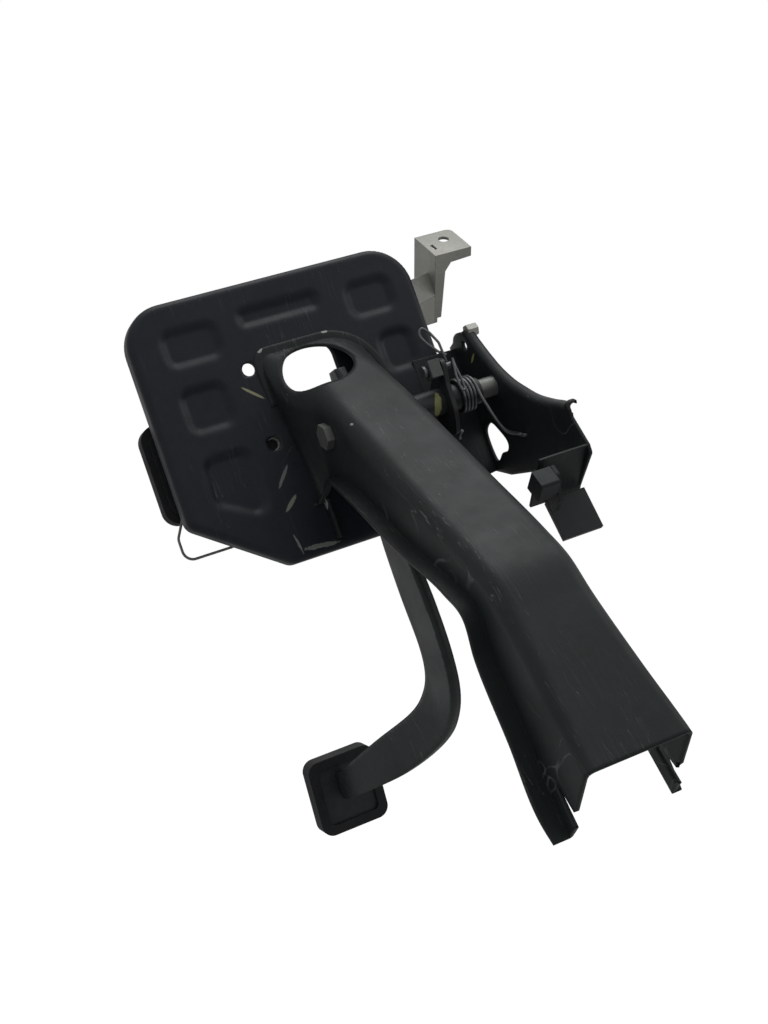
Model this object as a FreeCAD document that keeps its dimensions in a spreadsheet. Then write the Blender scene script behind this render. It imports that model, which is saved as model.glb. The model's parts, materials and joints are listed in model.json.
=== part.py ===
import FreeCAD, Part
import math
import os
import re
import Sketcher
from FreeCAD import Placement, Rotation, Vector

# Pedal box: an embossed bulkhead plate, a hat-section support channel with a hood,
# a hanging brake pedal on a through bolt, and the brackets around it.
# X runs along the pivot, Y from the plate towards the driver, Z up. The origin is on the
# front face of the plate.

os.makedirs("parts", exist_ok=True)
doc = FreeCAD.newDocument("PedalBox")

# Driving dimensions, in millimetres and degrees
DRIVING = {
    # mounting plate
    "plateLeft": 139, "plateRight": 90, "plateTop": 141, "plateBottom": 67,
    "plateSheet": 2, "rimDepth": 12, "rimBend": 3,
    "plateRound": 30, "plateLowRound": 8, "chamferDrop": 20, "chamferAcross": 74,
    "embossDepth": 3, "embossWall": 2, "embossRound": 7, "embossLip": 1.6,
    "openingLeft": 38, "openingRight": 8, "openingHigh": 84, "openingLow": 30, "openingRound": 12,
    "studHoleAcross": 59, "studHoleHigh": 78, "studHoleLow": 20, "studHoleRadius": 5,
    # support channel
    "channelSheet": 2.5, "channelRound": 9, "channelHalf": 30, "hoodLeft": 49, "endHalf": 36,
    "flangeWidth": 11, "hoodTop": 84, "slopeAngle": 43.9, "lowerAngle": 64.7,
    "hoodHoleX": 9, "hoodHoleDown": 35, "hoodHoleRadius": 29,
    "footLeft": 67, "footBottom": 62, "footTop": 13,
    "slotWide": 4, "slotDeep": 22,
    # pivot
    "pivotY": -45, "pivotZ": 9, "boltRadius": 5, "hubRadius": 10, "hubBore": 7,
    "bushFlange": 2, "bushWall": 2, "fitGap": 0.05, "bodyGap": 0.4,
    "boltHead": 6.5, "boltFlats": 17, "washerThick": 1.6, "washerRadius": 10,
    # pedal
    "armThick": 8, "armX": -5, "armWide": 36, "armTipWide": 25,
    "padWidth": 60, "padHeight": 64, "padThick": 9, "padX": -43, "padY": 160, "padZ": -254,
    "padTilt": 13, "padRound": 10, "padPlate": 3,
    # return spring
    "wireRadius": 1.25, "coilRadius": 12.3, "coilStart": 71, "coilPitch": 2.9, "coilTurns": 5,
    # side bracket
    "cheekX": 105, "cheekSheet": 2.5, "cheekLip": 5, "apronWidth": 40, "studRadius": 3,
    # bolt, lever and pin
    "boltLength": 150, "pinRadius": 4, "leverX": 60, "leverThick": 3.5,
    # zinc bracket
    "footSlope": 43.9, "zincX": 112, "zincY": -12, "zincZ": 122, "zincWide": 32, "zincLong": 34,
    "zincSheet": 2.5, "zincDeep": 74,
    # pad and foot rest
    "padWrap": 3, "padLip": 2.5, "padBorder": 8, "seatGap": 0.1,
    "restOut": 142, "restIn": 108, "restTop": 62, "restBottom": -14, "restY": 24, "restThick": 14,
}
sheet = doc.addObject("Spreadsheet::Sheet", "Sizes")
for row, (name, number) in enumerate(DRIVING.items(), start=1):
    sheet.set(f"A{row}", name)
    sheet.set(f"B{row}", str(number))
    sheet.setAlias(f"B{row}", name)
doc.recompute()


def size(name):
    """The value of one named cell."""
    return float(sheet.get(name))


def linked(text):
    """An expression over the sheet: every cell name in the text gets the sheet's name."""
    return re.sub(r"[A-Za-z]\w*", lambda word: "Sizes." + word.group() if word.group() in DRIVING else word.group(), str(text))


def new_body(name):
    body = doc.addObject("PartDesign::Body", name)
    body.Label = name
    return body


def new_sketch(body, name, role, lift=None, turn=None, shift=None):
    """A sketch on one of the body's own planes. Lift is along the normal, shift along local y."""
    sketch = body.newObject("Sketcher::SketchObject", name)
    plane = next(item for item in body.Origin.OriginFeatures if item.Role == role)
    sketch.AttachmentSupport = [(plane, "")]
    sketch.MapMode = "FlatFace"
    if turn is not None:
        sketch.AttachmentOffset = Placement(Vector(), Rotation(Vector(1, 0, 0), 1))
        sketch.setExpression("AttachmentOffset.Rotation.Angle", linked(turn))
    if shift is not None:
        sketch.setExpression("AttachmentOffset.Base.y", linked(shift))
    if lift is not None:
        sketch.setExpression("AttachmentOffset.Base.z", linked(lift))
    return sketch


def place(sketch, element, point, across, up):
    """Ties one point of the sketch to two expressions measured from the sketch's origin."""
    for kind, text in (("DistanceX", across), ("DistanceY", up)):
        index = sketch.addConstraint(Sketcher.Constraint(kind, -1, 1, element, point, 1.0))
        sketch.setExpression(f"Constraints[{index}]", linked(text))


def outline(sketch, corners):
    """A closed polygon whose corners are pairs of expressions."""
    first = sketch.GeometryCount
    count = len(corners)
    rough = [Vector(100 * math.cos(2 * math.pi * k / count), 100 * math.sin(2 * math.pi * k / count), 0)
             for k in range(count)]
    for k in range(count):
        sketch.addGeometry(Part.LineSegment(rough[k], rough[(k + 1) % count]), False)
    for k in range(count):
        sketch.addConstraint(Sketcher.Constraint("Coincident", first + k, 2, first + (k + 1) % count, 1))
    for k, (across, up) in enumerate(corners):
        place(sketch, first + k, 1, across, up)
    return first


def rounded(sketch, corners, grow, radius):
    """A closed convex polygon, given clockwise, grown by an offset, with an arc at every corner."""
    count = len(corners)
    spots = [Vector(across, up, 0) for across, up in corners]
    ways = [(spots[(k + 1) % count] - spots[k]).normalize() for k in range(count)]
    outer = []
    for k in range(count):
        before, after = ways[k - 1], ways[k]
        bisector = Vector(-before.y - after.y, before.x + after.x, 0).normalize()
        outer.append(spots[k] + bisector * (grow / abs(bisector.dot(Vector(-after.y, after.x, 0)))))
    pieces = []
    starts, ends = [], []
    for k in range(count):
        before, after = ways[k - 1], ways[k]
        half = before.getAngle(after) / 2
        back = radius * math.tan(half)
        inward = (after - before).normalize()
        middle = outer[k] + inward * (radius / math.cos(half) - radius)
        ends.append(outer[k] - before * back)
        starts.append(outer[k] + after * back)
        pieces.append(Part.Arc(ends[k], middle, starts[k]))
    for k in range(count):
        pieces.append(Part.LineSegment(starts[k], ends[(k + 1) % count]))
    sketch.addGeometry(pieces, False)


def circle(sketch, across, up, radius):
    index = sketch.addGeometry(Part.Circle(Vector(0, 0, 0), Vector(0, 0, 1), 5), False)
    place(sketch, index, 3, across, up)
    limit = sketch.addConstraint(Sketcher.Constraint("Radius", index, 5))
    sketch.setExpression(f"Constraints[{limit}]", linked(radius))
    return index


def pad(body, name, sketch, length, midplane=False, reverse=False, taper=None):
    feature = body.newObject("PartDesign::Pad", name)
    feature.Profile = sketch
    feature.setExpression("Length", linked(length))
    feature.Midplane = midplane
    feature.Reversed = reverse
    if taper is not None:
        feature.setExpression("TaperAngle", linked(taper))
    sketch.Visibility = False
    doc.recompute()
    return feature


def pocket(body, name, sketch, length=None, midplane=False, reverse=False, taper=None):
    feature = body.newObject("PartDesign::Pocket", name)
    feature.Profile = sketch
    if length is None:
        feature.Type = 1
    else:
        feature.setExpression("Length", linked(length))
    feature.Midplane = midplane
    feature.Reversed = reverse
    if taper is not None:
        feature.setExpression("TaperAngle", linked(taper))
    sketch.Visibility = False
    doc.recompute()
    return feature


def corner_edges(feature, sketch, corners):
    """Edges of the feature that rise from the given corners of the sketch."""
    normal = sketch.Placement.Rotation.multVec(Vector(0, 0, 1))
    found = []
    for corner in corners:
        spot = sketch.Placement.multVec(sketch.Geometry[corner].StartPoint)
        for number, edge in enumerate(feature.Shape.Edges, start=1):
            if len(edge.Vertexes) < 2:
                continue
            run = edge.Vertexes[1].Point - edge.Vertexes[0].Point
            if run.Length < 1e-6 or abs(run.normalize().dot(normal)) < 0.5:
                continue
            for vertex in edge.Vertexes:
                aside = vertex.Point - spot
                aside = aside - normal * aside.dot(normal)
                if aside.Length < 1e-3:
                    found.append(f"Edge{number}")
                    break
    return found


def fillet(body, name, feature, edges, radius):
    rounded = body.newObject("PartDesign::Fillet", name)
    rounded.Base = (feature, edges)
    rounded.setExpression("Radius", linked(radius))
    feature.Visibility = False
    doc.recompute()
    return rounded


def edges_where(feature, test):
    return [f"Edge{number}" for number, edge in enumerate(feature.Shape.Edges, start=1) if test(edge)]


def faces_where(feature, test):
    return [f"Face{number}" for number, face in enumerate(feature.Shape.Faces, start=1) if test(face)]


EMBOSSES = {
    "upper_left": (-94, 107, 46, 30),
    "upper_middle": (-21, 116, 68, 16),
    "upper_right": (53, 107, 40, 30),
    "middle_right": (61, 62, 30, 34),
    "middle_left": (-98, 59, 38, 36),
}


def on_chamfer(edge):
    """True for an edge that lies along the cut-off lower corner."""
    middle = edge.CenterOfMass
    across = size("plateLeft") - size("chamferAcross")
    drop = size("plateBottom") - size("chamferDrop")
    return (middle.x + size("plateLeft")) / across + (middle.z + size("plateBottom")) / drop < 1.25


def mounting_plate():
    body = new_body("mounting_plate")
    face = new_sketch(body, "plate_outline", "XZ_Plane")
    outline(face, [("-plateLeft", "plateTop"), ("plateRight", "plateTop"), ("plateRight", "-plateBottom"),
                   ("-chamferAcross", "-plateBottom"), ("-plateLeft", "-chamferDrop")])
    block = pad(body, "plate_block", face, "rimDepth", reverse=True)
    inside = new_sketch(body, "plate_inside", "XZ_Plane", lift="-plateSheet")
    outline(inside, [("-plateLeft + plateSheet", "plateTop - plateSheet"), ("plateRight - plateSheet", "plateTop - plateSheet"),
                     ("plateRight - plateSheet", "-plateBottom + plateSheet"),
                     ("-chamferAcross + plateSheet / 2", "-plateBottom + plateSheet"),
                     ("-plateLeft + plateSheet", "-chamferDrop + plateSheet / 2")])
    pan = pocket(body, "plate_pan", inside, "rimDepth")
    pan = fillet(body, "pan_corners", pan, corner_edges(pan, inside, [0, 1]), "plateRound - plateSheet")
    pan = fillet(body, "pan_low_corners", pan, corner_edges(pan, inside, [2, 3, 4]), "plateLowRound - plateSheet")
    pan = fillet(body, "plate_corners", pan, corner_edges(pan, face, [0, 1]), "plateRound")
    pan = fillet(body, "plate_low_corners", pan, corner_edges(pan, face, [2, 3, 4]), "plateLowRound")
    front = edges_where(pan, lambda edge: max(abs(v.Point.y) for v in edge.Vertexes) < 1e-6)
    pan = fillet(body, "plate_bend", pan, front, "rimBend")
    bump_sketch = new_sketch(body, "emboss_backs", "XZ_Plane")
    dent_sketch = new_sketch(body, "emboss_fronts", "XZ_Plane")
    slanted = [(-117, 24), (-77, 24), (-77, -27), (-90, -27), (-117, -12)]
    shapes = [slanted]
    for x, z, wide, high in EMBOSSES.values():
        left, right, low, high = x - wide / 2, x + wide / 2, z - high / 2, z + high / 2
        shapes.append([(left, high), (right, high), (right, low), (left, low)])
    for corners in shapes:
        rounded(bump_sketch, corners, size("embossWall"), size("embossRound") + size("embossWall"))
        rounded(dent_sketch, corners, 0, size("embossRound"))
    pad(body, "emboss_bumps", bump_sketch, "embossDepth + plateSheet", reverse=True)
    dents = pocket(body, "emboss_dents", dent_sketch, "embossDepth")
    depth = size("embossDepth")

    def rim_of_dent(edge):
        level = {round(v.Point.y, 4) for v in edge.Vertexes}
        middle = edge.CenterOfMass
        near_side = size("plateRight") - 8 < middle.x or middle.x < 8 - size("plateLeft")
        near_end = middle.z > size("plateTop") - 8 or middle.z < 8 - size("plateBottom")
        return level == {0.0} and not near_side and not near_end

    rims = [name for name in edges_where(dents, rim_of_dent)
            if not on_chamfer(dents.Shape.getElement(name))]
    dents = fillet(body, "emboss_rims", dents, rims, "embossLip")
    floors = edges_where(dents, lambda edge: {round(v.Point.y, 4) for v in edge.Vertexes} == {round(depth, 4)})
    dents = fillet(body, "emboss_floors", dents, floors, "embossLip / 2")
    holes = new_sketch(body, "plate_openings", "XZ_Plane")
    outline(holes, [("-openingLeft", "openingHigh"), ("openingRight", "openingHigh"),
                    ("openingRight", "openingLow"), ("-openingLeft", "openingLow")])
    cut = pocket(body, "plate_opening", holes, "rimDepth", reverse=False)
    cut = fillet(body, "opening_corners", cut, corner_edges(cut, holes, range(4)), "openingRound")
    drilled = new_sketch(body, "plate_holes", "XZ_Plane")
    circle(drilled, "-studHoleAcross", "studHoleHigh", "studHoleRadius")
    circle(drilled, "-studHoleAcross", "studHoleLow", "studHoleRadius")
    pocket(body, "plate_drilled", drilled, "rimDepth", reverse=False)
    return body


def station(body, name, y, z, angle, left, right, depth, flange):
    """One hat profile of the channel. Its local y runs from the spine to the rear edges."""
    sketch = body.newObject("Sketcher::SketchObject", name)
    plane = next(item for item in body.Origin.OriginFeatures if item.Role == "XY_Plane")
    sketch.AttachmentSupport = [(plane, "")]
    sketch.MapMode = "FlatFace"
    sketch.AttachmentOffset = Placement(Vector(0, y, z), Rotation(Vector(1, 0, 0), angle))
    t = size("channelSheet")
    r = size("channelRound")
    q = math.sqrt(0.5)

    def corner(cx, radius, side):
        """Quarter arc between a wall and the spine."""
        return Part.Arc(Vector(cx + side * radius, r, 0), Vector(cx + side * radius * q, r - radius * q, 0),
                        Vector(cx, r - radius, 0))

    def run(*points):
        return [Part.LineSegment(Vector(*a, 0), Vector(*b, 0)) for a, b in zip(points, points[1:])]

    parts = run((-left - flange, depth), (-left - flange, depth - t), (-left, depth - t), (-left, r))
    parts.append(corner(-left + r, r, -1))
    parts += run((-left + r, 0), (right - r, 0))
    parts.append(corner(right - r, r, 1))
    parts += run((right, r), (right, depth - t), (right + flange, depth - t), (right + flange, depth),
                 (right - t, depth), (right - t, r))
    parts.append(corner(right - r, r - t, 1))
    parts += run((right - r, t), (-left + r, t))
    parts.append(corner(-left + r, r - t, -1))
    parts += run((-left + t, r), (-left + t, depth), (-left - flange, depth))
    sketch.addGeometry(parts, False)
    return sketch


def support_channel():
    body = new_body("support_channel")
    slope = math.radians(size("slopeAngle"))
    lower = math.radians(size("lowerAngle"))
    half = size("channelHalf")
    hood = size("hoodLeft")
    end = size("endHalf")
    wide = size("flangeWidth")
    top = size("hoodTop")

    def on_slope(y):
        return y, top + y * math.tan(slope)

    knee = on_slope(-212)

    def below_knee(run):
        return knee[0] - run * math.cos(lower), knee[1] - run * math.sin(lower)

    across = -math.degrees(math.pi / 2 - slope)
    stations = [
        (*on_slope(0), -90, hood, half + 6, 118, 0.5),
        (*on_slope(-16), -84, hood - 5, half + 3, 102, 0.5),
        (*on_slope(-34), -74, hood - 15, half, 81, 1.5),
        (*on_slope(-44), -67, half, half, 69, 4),
        (*on_slope(-56), -60, half, half, 58, 8),
        (*on_slope(-90), across, half, half, 46, wide),
        (*on_slope(-150), across, half, half, 39, wide),
        (*on_slope(-198), -41, half, half, 30, wide),
        (*below_knee(4), -34, half, half, 30, wide),
        (*below_knee(34), lower_turn(lower), half + 0.5, half + 0.5, 41, wide + 1),
        (*below_knee(90), lower_turn(lower), (half + end) / 2, (half + end) / 2, 51, wide + 2),
        (*below_knee(148), lower_turn(lower), end, end, 61, wide + 2),
        (*below_knee(165), lower_turn(lower), end + 0.5, end + 0.5, 63, wide + 2),
    ]
    profiles = [station(body, f"channel_station_{k}", *values) for k, values in enumerate(stations)]
    loft = body.newObject("PartDesign::AdditiveLoft", "channel_loft")
    loft.Profile = profiles[0]
    loft.Sections = profiles[1:]
    loft.Ruled = True
    doc.recompute()
    # the forked end: the spine is cut back, the wall ends in a point, and a slot frees the leg
    ahead, out = (-math.cos(lower), -math.sin(lower)), (math.sin(lower), -math.cos(lower))
    tip = below_knee(148)

    def at(along, deep):
        return (f"{tip[0] + along * ahead[0] + deep * out[0]:.3f}", f"{tip[1] + along * ahead[1] + deep * out[1]:.3f}")

    fork = new_sketch(body, "fork_cut", "YZ_Plane")
    outline(fork, [at(0, -5), at(0, 1), at(9, 37), at(-13, 38), at(-13, 42), at(14, 45), at(40, 45), at(40, -5)])
    pocket(body, "fork_ends", fork, "4 * endHalf", midplane=True)
    opening = new_sketch(body, "hood_opening", "XY_Plane", turn="slopeAngle", shift=None)
    opening.setExpression("AttachmentOffset.Base.z", linked("hoodTop"))
    circle(opening, "-hoodHoleX", "-hoodHoleDown", "hoodHoleRadius")
    pocket(body, "hood_hole", opening, "14")
    rims = new_sketch(body, "weld_flanges", "XZ_Plane")
    outline(rims, [("-hoodLeft", "hoodTop - channelSheet"), ("channelHalf", "hoodTop - channelSheet"),
                   ("channelHalf - 8", "hoodTop + 9"), ("-hoodLeft", "hoodTop + 10")])
    outline(rims, [("-hoodLeft - 0.5", "footTop"), ("-footLeft + 10", "footTop - 7"), ("-footLeft", "footTop - 26"),
                   ("-footLeft", "-footBottom"), ("-hoodLeft + 12", "-footBottom"), ("-hoodLeft + 12", "-34"),
                   ("-hoodLeft + 1", "-34"), ("-hoodLeft + 1", "footTop")])
    pad(body, "weld_flange_plates", rims, "channelSheet")
    web = new_sketch(body, "foot_web", "XY_Plane", lift="-footBottom")
    outline(web, [("-hoodLeft + 12", "0"), ("-hoodLeft + 12", "-9"), ("-hoodLeft + 17", "-9"), ("-hoodLeft + 17", "-9 + channelSheet"),
                  ("-hoodLeft + 12 + channelSheet", "-9 + channelSheet"), ("-hoodLeft + 12 + channelSheet", "0")])
    pad(body, "foot_upstand", web, "footBottom - 31")
    bores = new_sketch(body, "pivot_bores", "YZ_Plane")
    circle(bores, "pivotY", "pivotZ", "boltRadius + 0.4")
    pocket(body, "pivot_left_bore", bores, "3 * channelHalf", reverse=False)
    right_bore = new_sketch(body, "hub_bore", "YZ_Plane")
    circle(right_bore, "pivotY", "pivotZ", "hubRadius + bushWall + 2 * fitGap")
    pocket(body, "pivot_right_bore", right_bore, "3 * channelHalf", reverse=True)
    return body


def lower_turn(lower):
    """Turn of a profile that stands square to the lower run."""
    return -(90 - math.degrees(lower))



PIVOT = ("pivotY", "pivotZ")


def turned(name, profile):
    """A body turned about the pivot axis: pairs of expressions, along X and out from the axis."""
    body = new_body(name)
    sketch = new_sketch(body, name + "_section", "XZ_Plane")
    outline(sketch, profile)
    feature = body.newObject("PartDesign::Revolution", name + "_turned")
    feature.Profile = sketch
    feature.ReferenceAxis = (sketch, ["H_Axis"])
    feature.Angle = 360
    sketch.Visibility = False
    body.setExpression("Placement.Base.y", linked("pivotY"))
    body.setExpression("Placement.Base.z", linked("pivotZ"))
    doc.recompute()
    return body


def ring(name, start, end, inner, outer):
    return turned(name, [(start, inner), (end, inner), (end, outer), (start, outer)])


def flat_bar(name, role, corners, start, thick, rounds=None, holes=()):
    """A sheet or bar cut to an outline: its thickness runs along the normal of the plane."""
    body = new_body(name)
    sketch = new_sketch(body, name + "_outline", role, lift=start)
    outline(sketch, corners)
    feature = pad(body, name + "_blank", sketch, thick)
    for number, (radius, where) in enumerate((rounds or {}).items()):
        edges = corner_edges(feature, sketch, where)
        feature = fillet(body, f"{name}_round_{number}", feature, edges, radius)
    if holes:
        drilled = new_sketch(body, name + "_holes", role, lift=start)
        for across, up, radius in holes:
            circle(drilled, across, up, radius)
        feature = pocket(body, name + "_drilled", drilled, f"2 * ({thick})", reverse=True)
    return body


def hex_prism(name, start, thick, flats, across, up):
    prism = doc.addObject("Part::Prism", name)
    prism.Polygon = 6
    prism.setExpression("Circumradius", linked(f"({flats}) / 1.7320508"))
    prism.setExpression("Height", linked(thick))
    prism.Placement = Placement(Vector(0, 0, 0), Rotation(Vector(0, 1, 0), 90))
    prism.setExpression("Placement.Base.x", linked(start))
    prism.setExpression("Placement.Base.y", linked(across))
    prism.setExpression("Placement.Base.z", linked(up))
    return prism


def cylinder_x(name, start, long, radius, across, up):
    rod = doc.addObject("Part::Cylinder", name)
    rod.setExpression("Radius", linked(radius))
    rod.setExpression("Height", linked(long))
    rod.Placement = Placement(Vector(0, 0, 0), Rotation(Vector(0, 1, 0), 90))
    rod.setExpression("Placement.Base.x", linked(start))
    rod.setExpression("Placement.Base.y", linked(across))
    rod.setExpression("Placement.Base.z", linked(up))
    return rod


def joined(name, pieces):
    union = doc.addObject("Part::MultiFuse", name)
    union.Shapes = pieces
    union.Refine = True
    union.Label = name
    return union


def trimmed(name, base, tool):
    cut = doc.addObject("Part::Cut", name)
    cut.Base = base
    cut.Tool = tool
    cut.Refine = True
    cut.Label = name
    return cut


def pivot_parts():
    wall = "channelHalf"
    head = hex_prism("bolt_head", f"-{wall} - washerThick - boltHead", "boltHead", "boltFlats", *PIVOT)
    shank = cylinder_x("bolt_shank", f"-{wall} - washerThick", "boltLength", "boltRadius", *PIVOT)
    joined("pivot_bolt", [head, shank])
    nut = hex_prism("nut_hex", "cheekX + cheekSheet", "boltHead + 1.5", "boltFlats", *PIVOT)
    bore = cylinder_x("nut_bore", "cheekX + cheekSheet - 1", "boltHead + 5", "boltRadius + fitGap", *PIVOT)
    trimmed("pivot_nut", nut, bore)
    ring("pivot_washer", f"-{wall} - washerThick", f"-{wall}", "boltRadius + 0.3", "washerRadius")
    inside = "channelHalf - channelSheet"
    ring("pedal_hub", f"-({inside}) + bushFlange + bodyGap", "coilStart + coilTurns * coilPitch + 5",
         "hubBore", "hubRadius")
    turned("bush_left", [(f"-({inside})", "boltRadius + fitGap"), (f"-({inside}) + bushFlange + 12", "boltRadius + fitGap"),
                         (f"-({inside}) + bushFlange + 12", "hubBore - fitGap"), (f"-({inside}) + bushFlange", "hubBore - fitGap"),
                         (f"-({inside}) + bushFlange", "hubRadius + 1"), (f"-({inside})", "hubRadius + 1")])
    turned("bush_right", [(f"{inside} - bushFlange", "hubRadius + fitGap"), ("channelHalf + 3", "hubRadius + fitGap"),
                          ("channelHalf + 3", "hubRadius + bushWall + fitGap"), (inside, "hubRadius + bushWall + fitGap"),
                          (inside, "hubRadius + bushWall + 3"), (f"{inside} - bushFlange", "hubRadius + bushWall + 3")])
    ring("spacer_sleeve", "coilStart + coilTurns * coilPitch + 5 + bodyGap", "cheekX", "boltRadius + fitGap", "boltRadius + 2.5")


def brake_arm():
    """A flat bar: its side outline in the YZ plane, bent sideways as the plan outline says."""
    side = new_body("arm_side")
    sketch = new_sketch(side, "arm_side_outline", "YZ_Plane")
    outline(sketch, [("pivotY - 15", "pivotZ + 8"), ("pivotY + 2.5", "pivotZ + 29"), ("pivotY + 4", "pivotZ + 43"),
                     ("pivotY + 20", "pivotZ + 40"), ("pivotY + 17", "pivotZ - 8"), ("-13", "-71"), ("-17", "-172"),
                     ("30", "-196"),
                     ("padY - 16", "padZ + 18"), ("padY - 16 * tan(padTilt)", "padZ + 16"), ("padY + 8 * tan(padTilt)", "padZ - 8"),
                     ("padY - 30", "padZ - 4"),
                     ("12", "-227"), ("-52", "-192"), ("-53", "-130"), ("-49", "-85"), ("pivotY - 19", "pivotZ - 8")])
    blank = pad(side, "arm_side_blank", sketch, "180", midplane=True)
    rounds = {"45": [6], "70": [13], "8": [0, 3], "6": [2], "14": [4, 16], "24": [11, 12]}
    for number, (radius, where) in enumerate(rounds.items()):
        edges = corner_edges(blank, sketch, where)
        blank = fillet(side, f"arm_side_round_{number}", blank, edges, radius)
    plan = new_body("arm_plan")
    above = new_sketch(plan, "arm_plan_outline", "XY_Plane", lift="-300")
    left, right = "armX - armThick / 2", "armX + armThick / 2"
    outline(above, [(left, "-90"), (left, "5"), ("padX - 9", "padY - 22"), ("padX - 13", "padY + 10"),
                    ("padX + 13", "padY + 10"), ("padX + 2", "padY - 22"), (right, "3"), (right, "-90")])
    band = pad(plan, "arm_plan_blank", above, "400")
    band = fillet(plan, "arm_plan_round", band, corner_edges(band, above, [1, 6]), "60")
    bar = doc.addObject("Part::MultiCommon", "arm_bar")
    bar.Shapes = [side, plan]
    eye = cylinder_x("arm_eye", "armX - armThick", "2 * armThick", "hubRadius", *PIVOT)
    pin_hole = cylinder_x("arm_pin_hole", "armX - armThick", "2 * armThick", "pinRadius + fitGap", "pivotY + 10", "pivotZ + 34")
    drilled = joined("arm_holes", [eye, pin_hole])
    trimmed("brake_arm", bar, drilled)


def pad_frame(name):
    """A body whose own axes stand on the middle of the pad's back, tilted with it."""
    body = new_body(name)
    body.Placement = Placement(Vector(0, 0, 0), Rotation(Vector(1, 0, 0), 1))
    body.setExpression("Placement.Rotation.Angle", linked("padTilt"))
    body.setExpression("Placement.Base.x", linked("padX"))
    body.setExpression("Placement.Base.y", linked("padY"))
    body.setExpression("Placement.Base.z", linked("padZ"))
    return body


def slab_outline(body, name, start, inset):
    """A rectangle smaller than the pad by the inset on every side."""
    sketch = new_sketch(body, name, "XZ_Plane", lift=f"-({start})")
    across, up = f"padWidth / 2 - ({inset})", f"padHeight / 2 - ({inset})"
    outline(sketch, [(f"-({across})", up), (across, up), (across, f"-({up})"), (f"-({across})", f"-({up})")])
    return sketch


def pedal_pads():
    plate = pad_frame("pedal_pad_plate")
    sketch = slab_outline(plate, "pad_plate_outline", "0", "padWrap")
    slab = pad(plate, "pad_plate_slab", sketch, "padPlate", reverse=True)
    fillet(plate, "pad_plate_corners", slab, corner_edges(slab, sketch, range(4)), "padRound - padWrap")

    body = pad_frame("pedal_pad")
    outside = slab_outline(body, "pad_outline", "-padLip", "0")
    slab = pad(body, "pad_slab", outside, "padLip + padPlate + padThick", reverse=True)
    seat = slab_outline(body, "pad_seat", "-seatGap", "padWrap - seatGap")
    slab = pocket(body, "pad_hollow", seat, "padPlate + 2 * seatGap")
    slab = fillet(body, "pad_hollow_corners", slab, corner_edges(slab, seat, range(4)), "padRound - padWrap")
    mouth = slab_outline(body, "pad_mouth", "-padLip", "padBorder")
    slab = pocket(body, "pad_window", mouth, "padLip")
    slab = fillet(body, "pad_window_corners", slab, corner_edges(slab, mouth, range(4)), "5")
    slab = fillet(body, "pad_corners", slab, corner_edges(slab, outside, range(4)), "padRound")
    grooves = new_sketch(body, "pad_grooves", "XZ_Plane", lift="-padPlate - padThick")
    edge = "padWidth / 2 - padBorder"
    for row in range(5):
        low = f"-padHeight / 2 + padBorder + {row} * (padHeight - 2 * padBorder + 3) / 5"
        high = f"{low} + (padHeight - 2 * padBorder + 3) / 5 - 3"
        outline(grooves, [(f"-({edge})", high), (edge, high), (edge, low), (f"-({edge})", low)])
    pocket(body, "pad_ribs", grooves, "2.5", reverse=True)


def swept(name, points, radius, bend):
    """A round wire: straight runs between the points, with an arc of the bend radius at each of them."""
    spots = [Vector(*point) for point in points]
    edges = []
    last = spots[0]
    for k in range(1, len(spots) - 1):
        before = (spots[k] - spots[k - 1]).normalize()
        after = (spots[k + 1] - spots[k]).normalize()
        half = before.getAngle(after) / 2
        if half < 1e-4:
            continue
        room = 0.48 * min((spots[k] - spots[k - 1]).Length, (spots[k + 1] - spots[k]).Length)
        back = min(bend * math.tan(half), room)
        arc = back / math.tan(half)
        start, end = spots[k] - before * back, spots[k] + after * back
        middle = spots[k] + (after - before).normalize() * (arc / math.cos(half) - arc)
        edges.append(Part.LineSegment(last, start).toShape())
        edges.append(Part.Arc(start, middle, end).toShape())
        last = end
    edges.append(Part.LineSegment(last, spots[-1]).toShape())
    section = Part.Wire(Part.makeCircle(radius, spots[0], spots[1] - spots[0]))
    body = doc.addObject("Part::Feature", name)
    body.Shape = Part.Wire(edges).makePipeShell([section], True, False)
    body.Label = name
    return body


def return_spring():
    """A coil about the hub. Both legs leave it along its tangent: one to the lever, one to the cheek."""
    y, z = size("pivotY"), size("pivotZ")
    radius, pitch, turns = size("coilRadius"), size("coilPitch"), size("coilTurns")
    wire, start, cheek = size("wireRadius"), size("coilStart") + size("wireRadius"), size("cheekX")
    lever = size("leverX") + size("leverThick")
    first, last = math.radians(-14), math.radians(168.9 + 360 * (turns - 1))
    steps = round(8 * (last - first) / (2 * math.pi))
    outer = radius / math.cos((last - first) / steps / 2)
    coil = []
    for k in range(steps):
        angle = first + (last - first) * (k + 0.5) / steps
        along = start + pitch * (angle - first) / (2 * math.pi)
        coil.append((along, y + outer * math.cos(angle), z + outer * math.sin(angle)))

    def leg(angle, reach, along, side):
        """A point on the tangent that leaves the coil at the angle."""
        return (along, y + radius * math.cos(angle) - side * reach * math.sin(angle),
                z + radius * math.sin(angle) + side * reach * math.cos(angle))

    short_leg = [(lever + wire + 0.15, y - 8, z - 25.5), (lever + wire + 0.3, y + 2, z - 28),
                 leg(first, 27, lever + 3.6, -1), leg(first, 14, start - 0.6, -1)]
    end = coil[-1][0]
    long_leg = [leg(last, 14, end + 0.9, 1), leg(last, 38, end + 6, 1), (cheek - 2.5, y - 22, z - 43),
                (cheek + 4.5, y - 22, z - 43)]
    swept("return_spring", short_leg + coil + long_leg, wire, radius)


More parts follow.
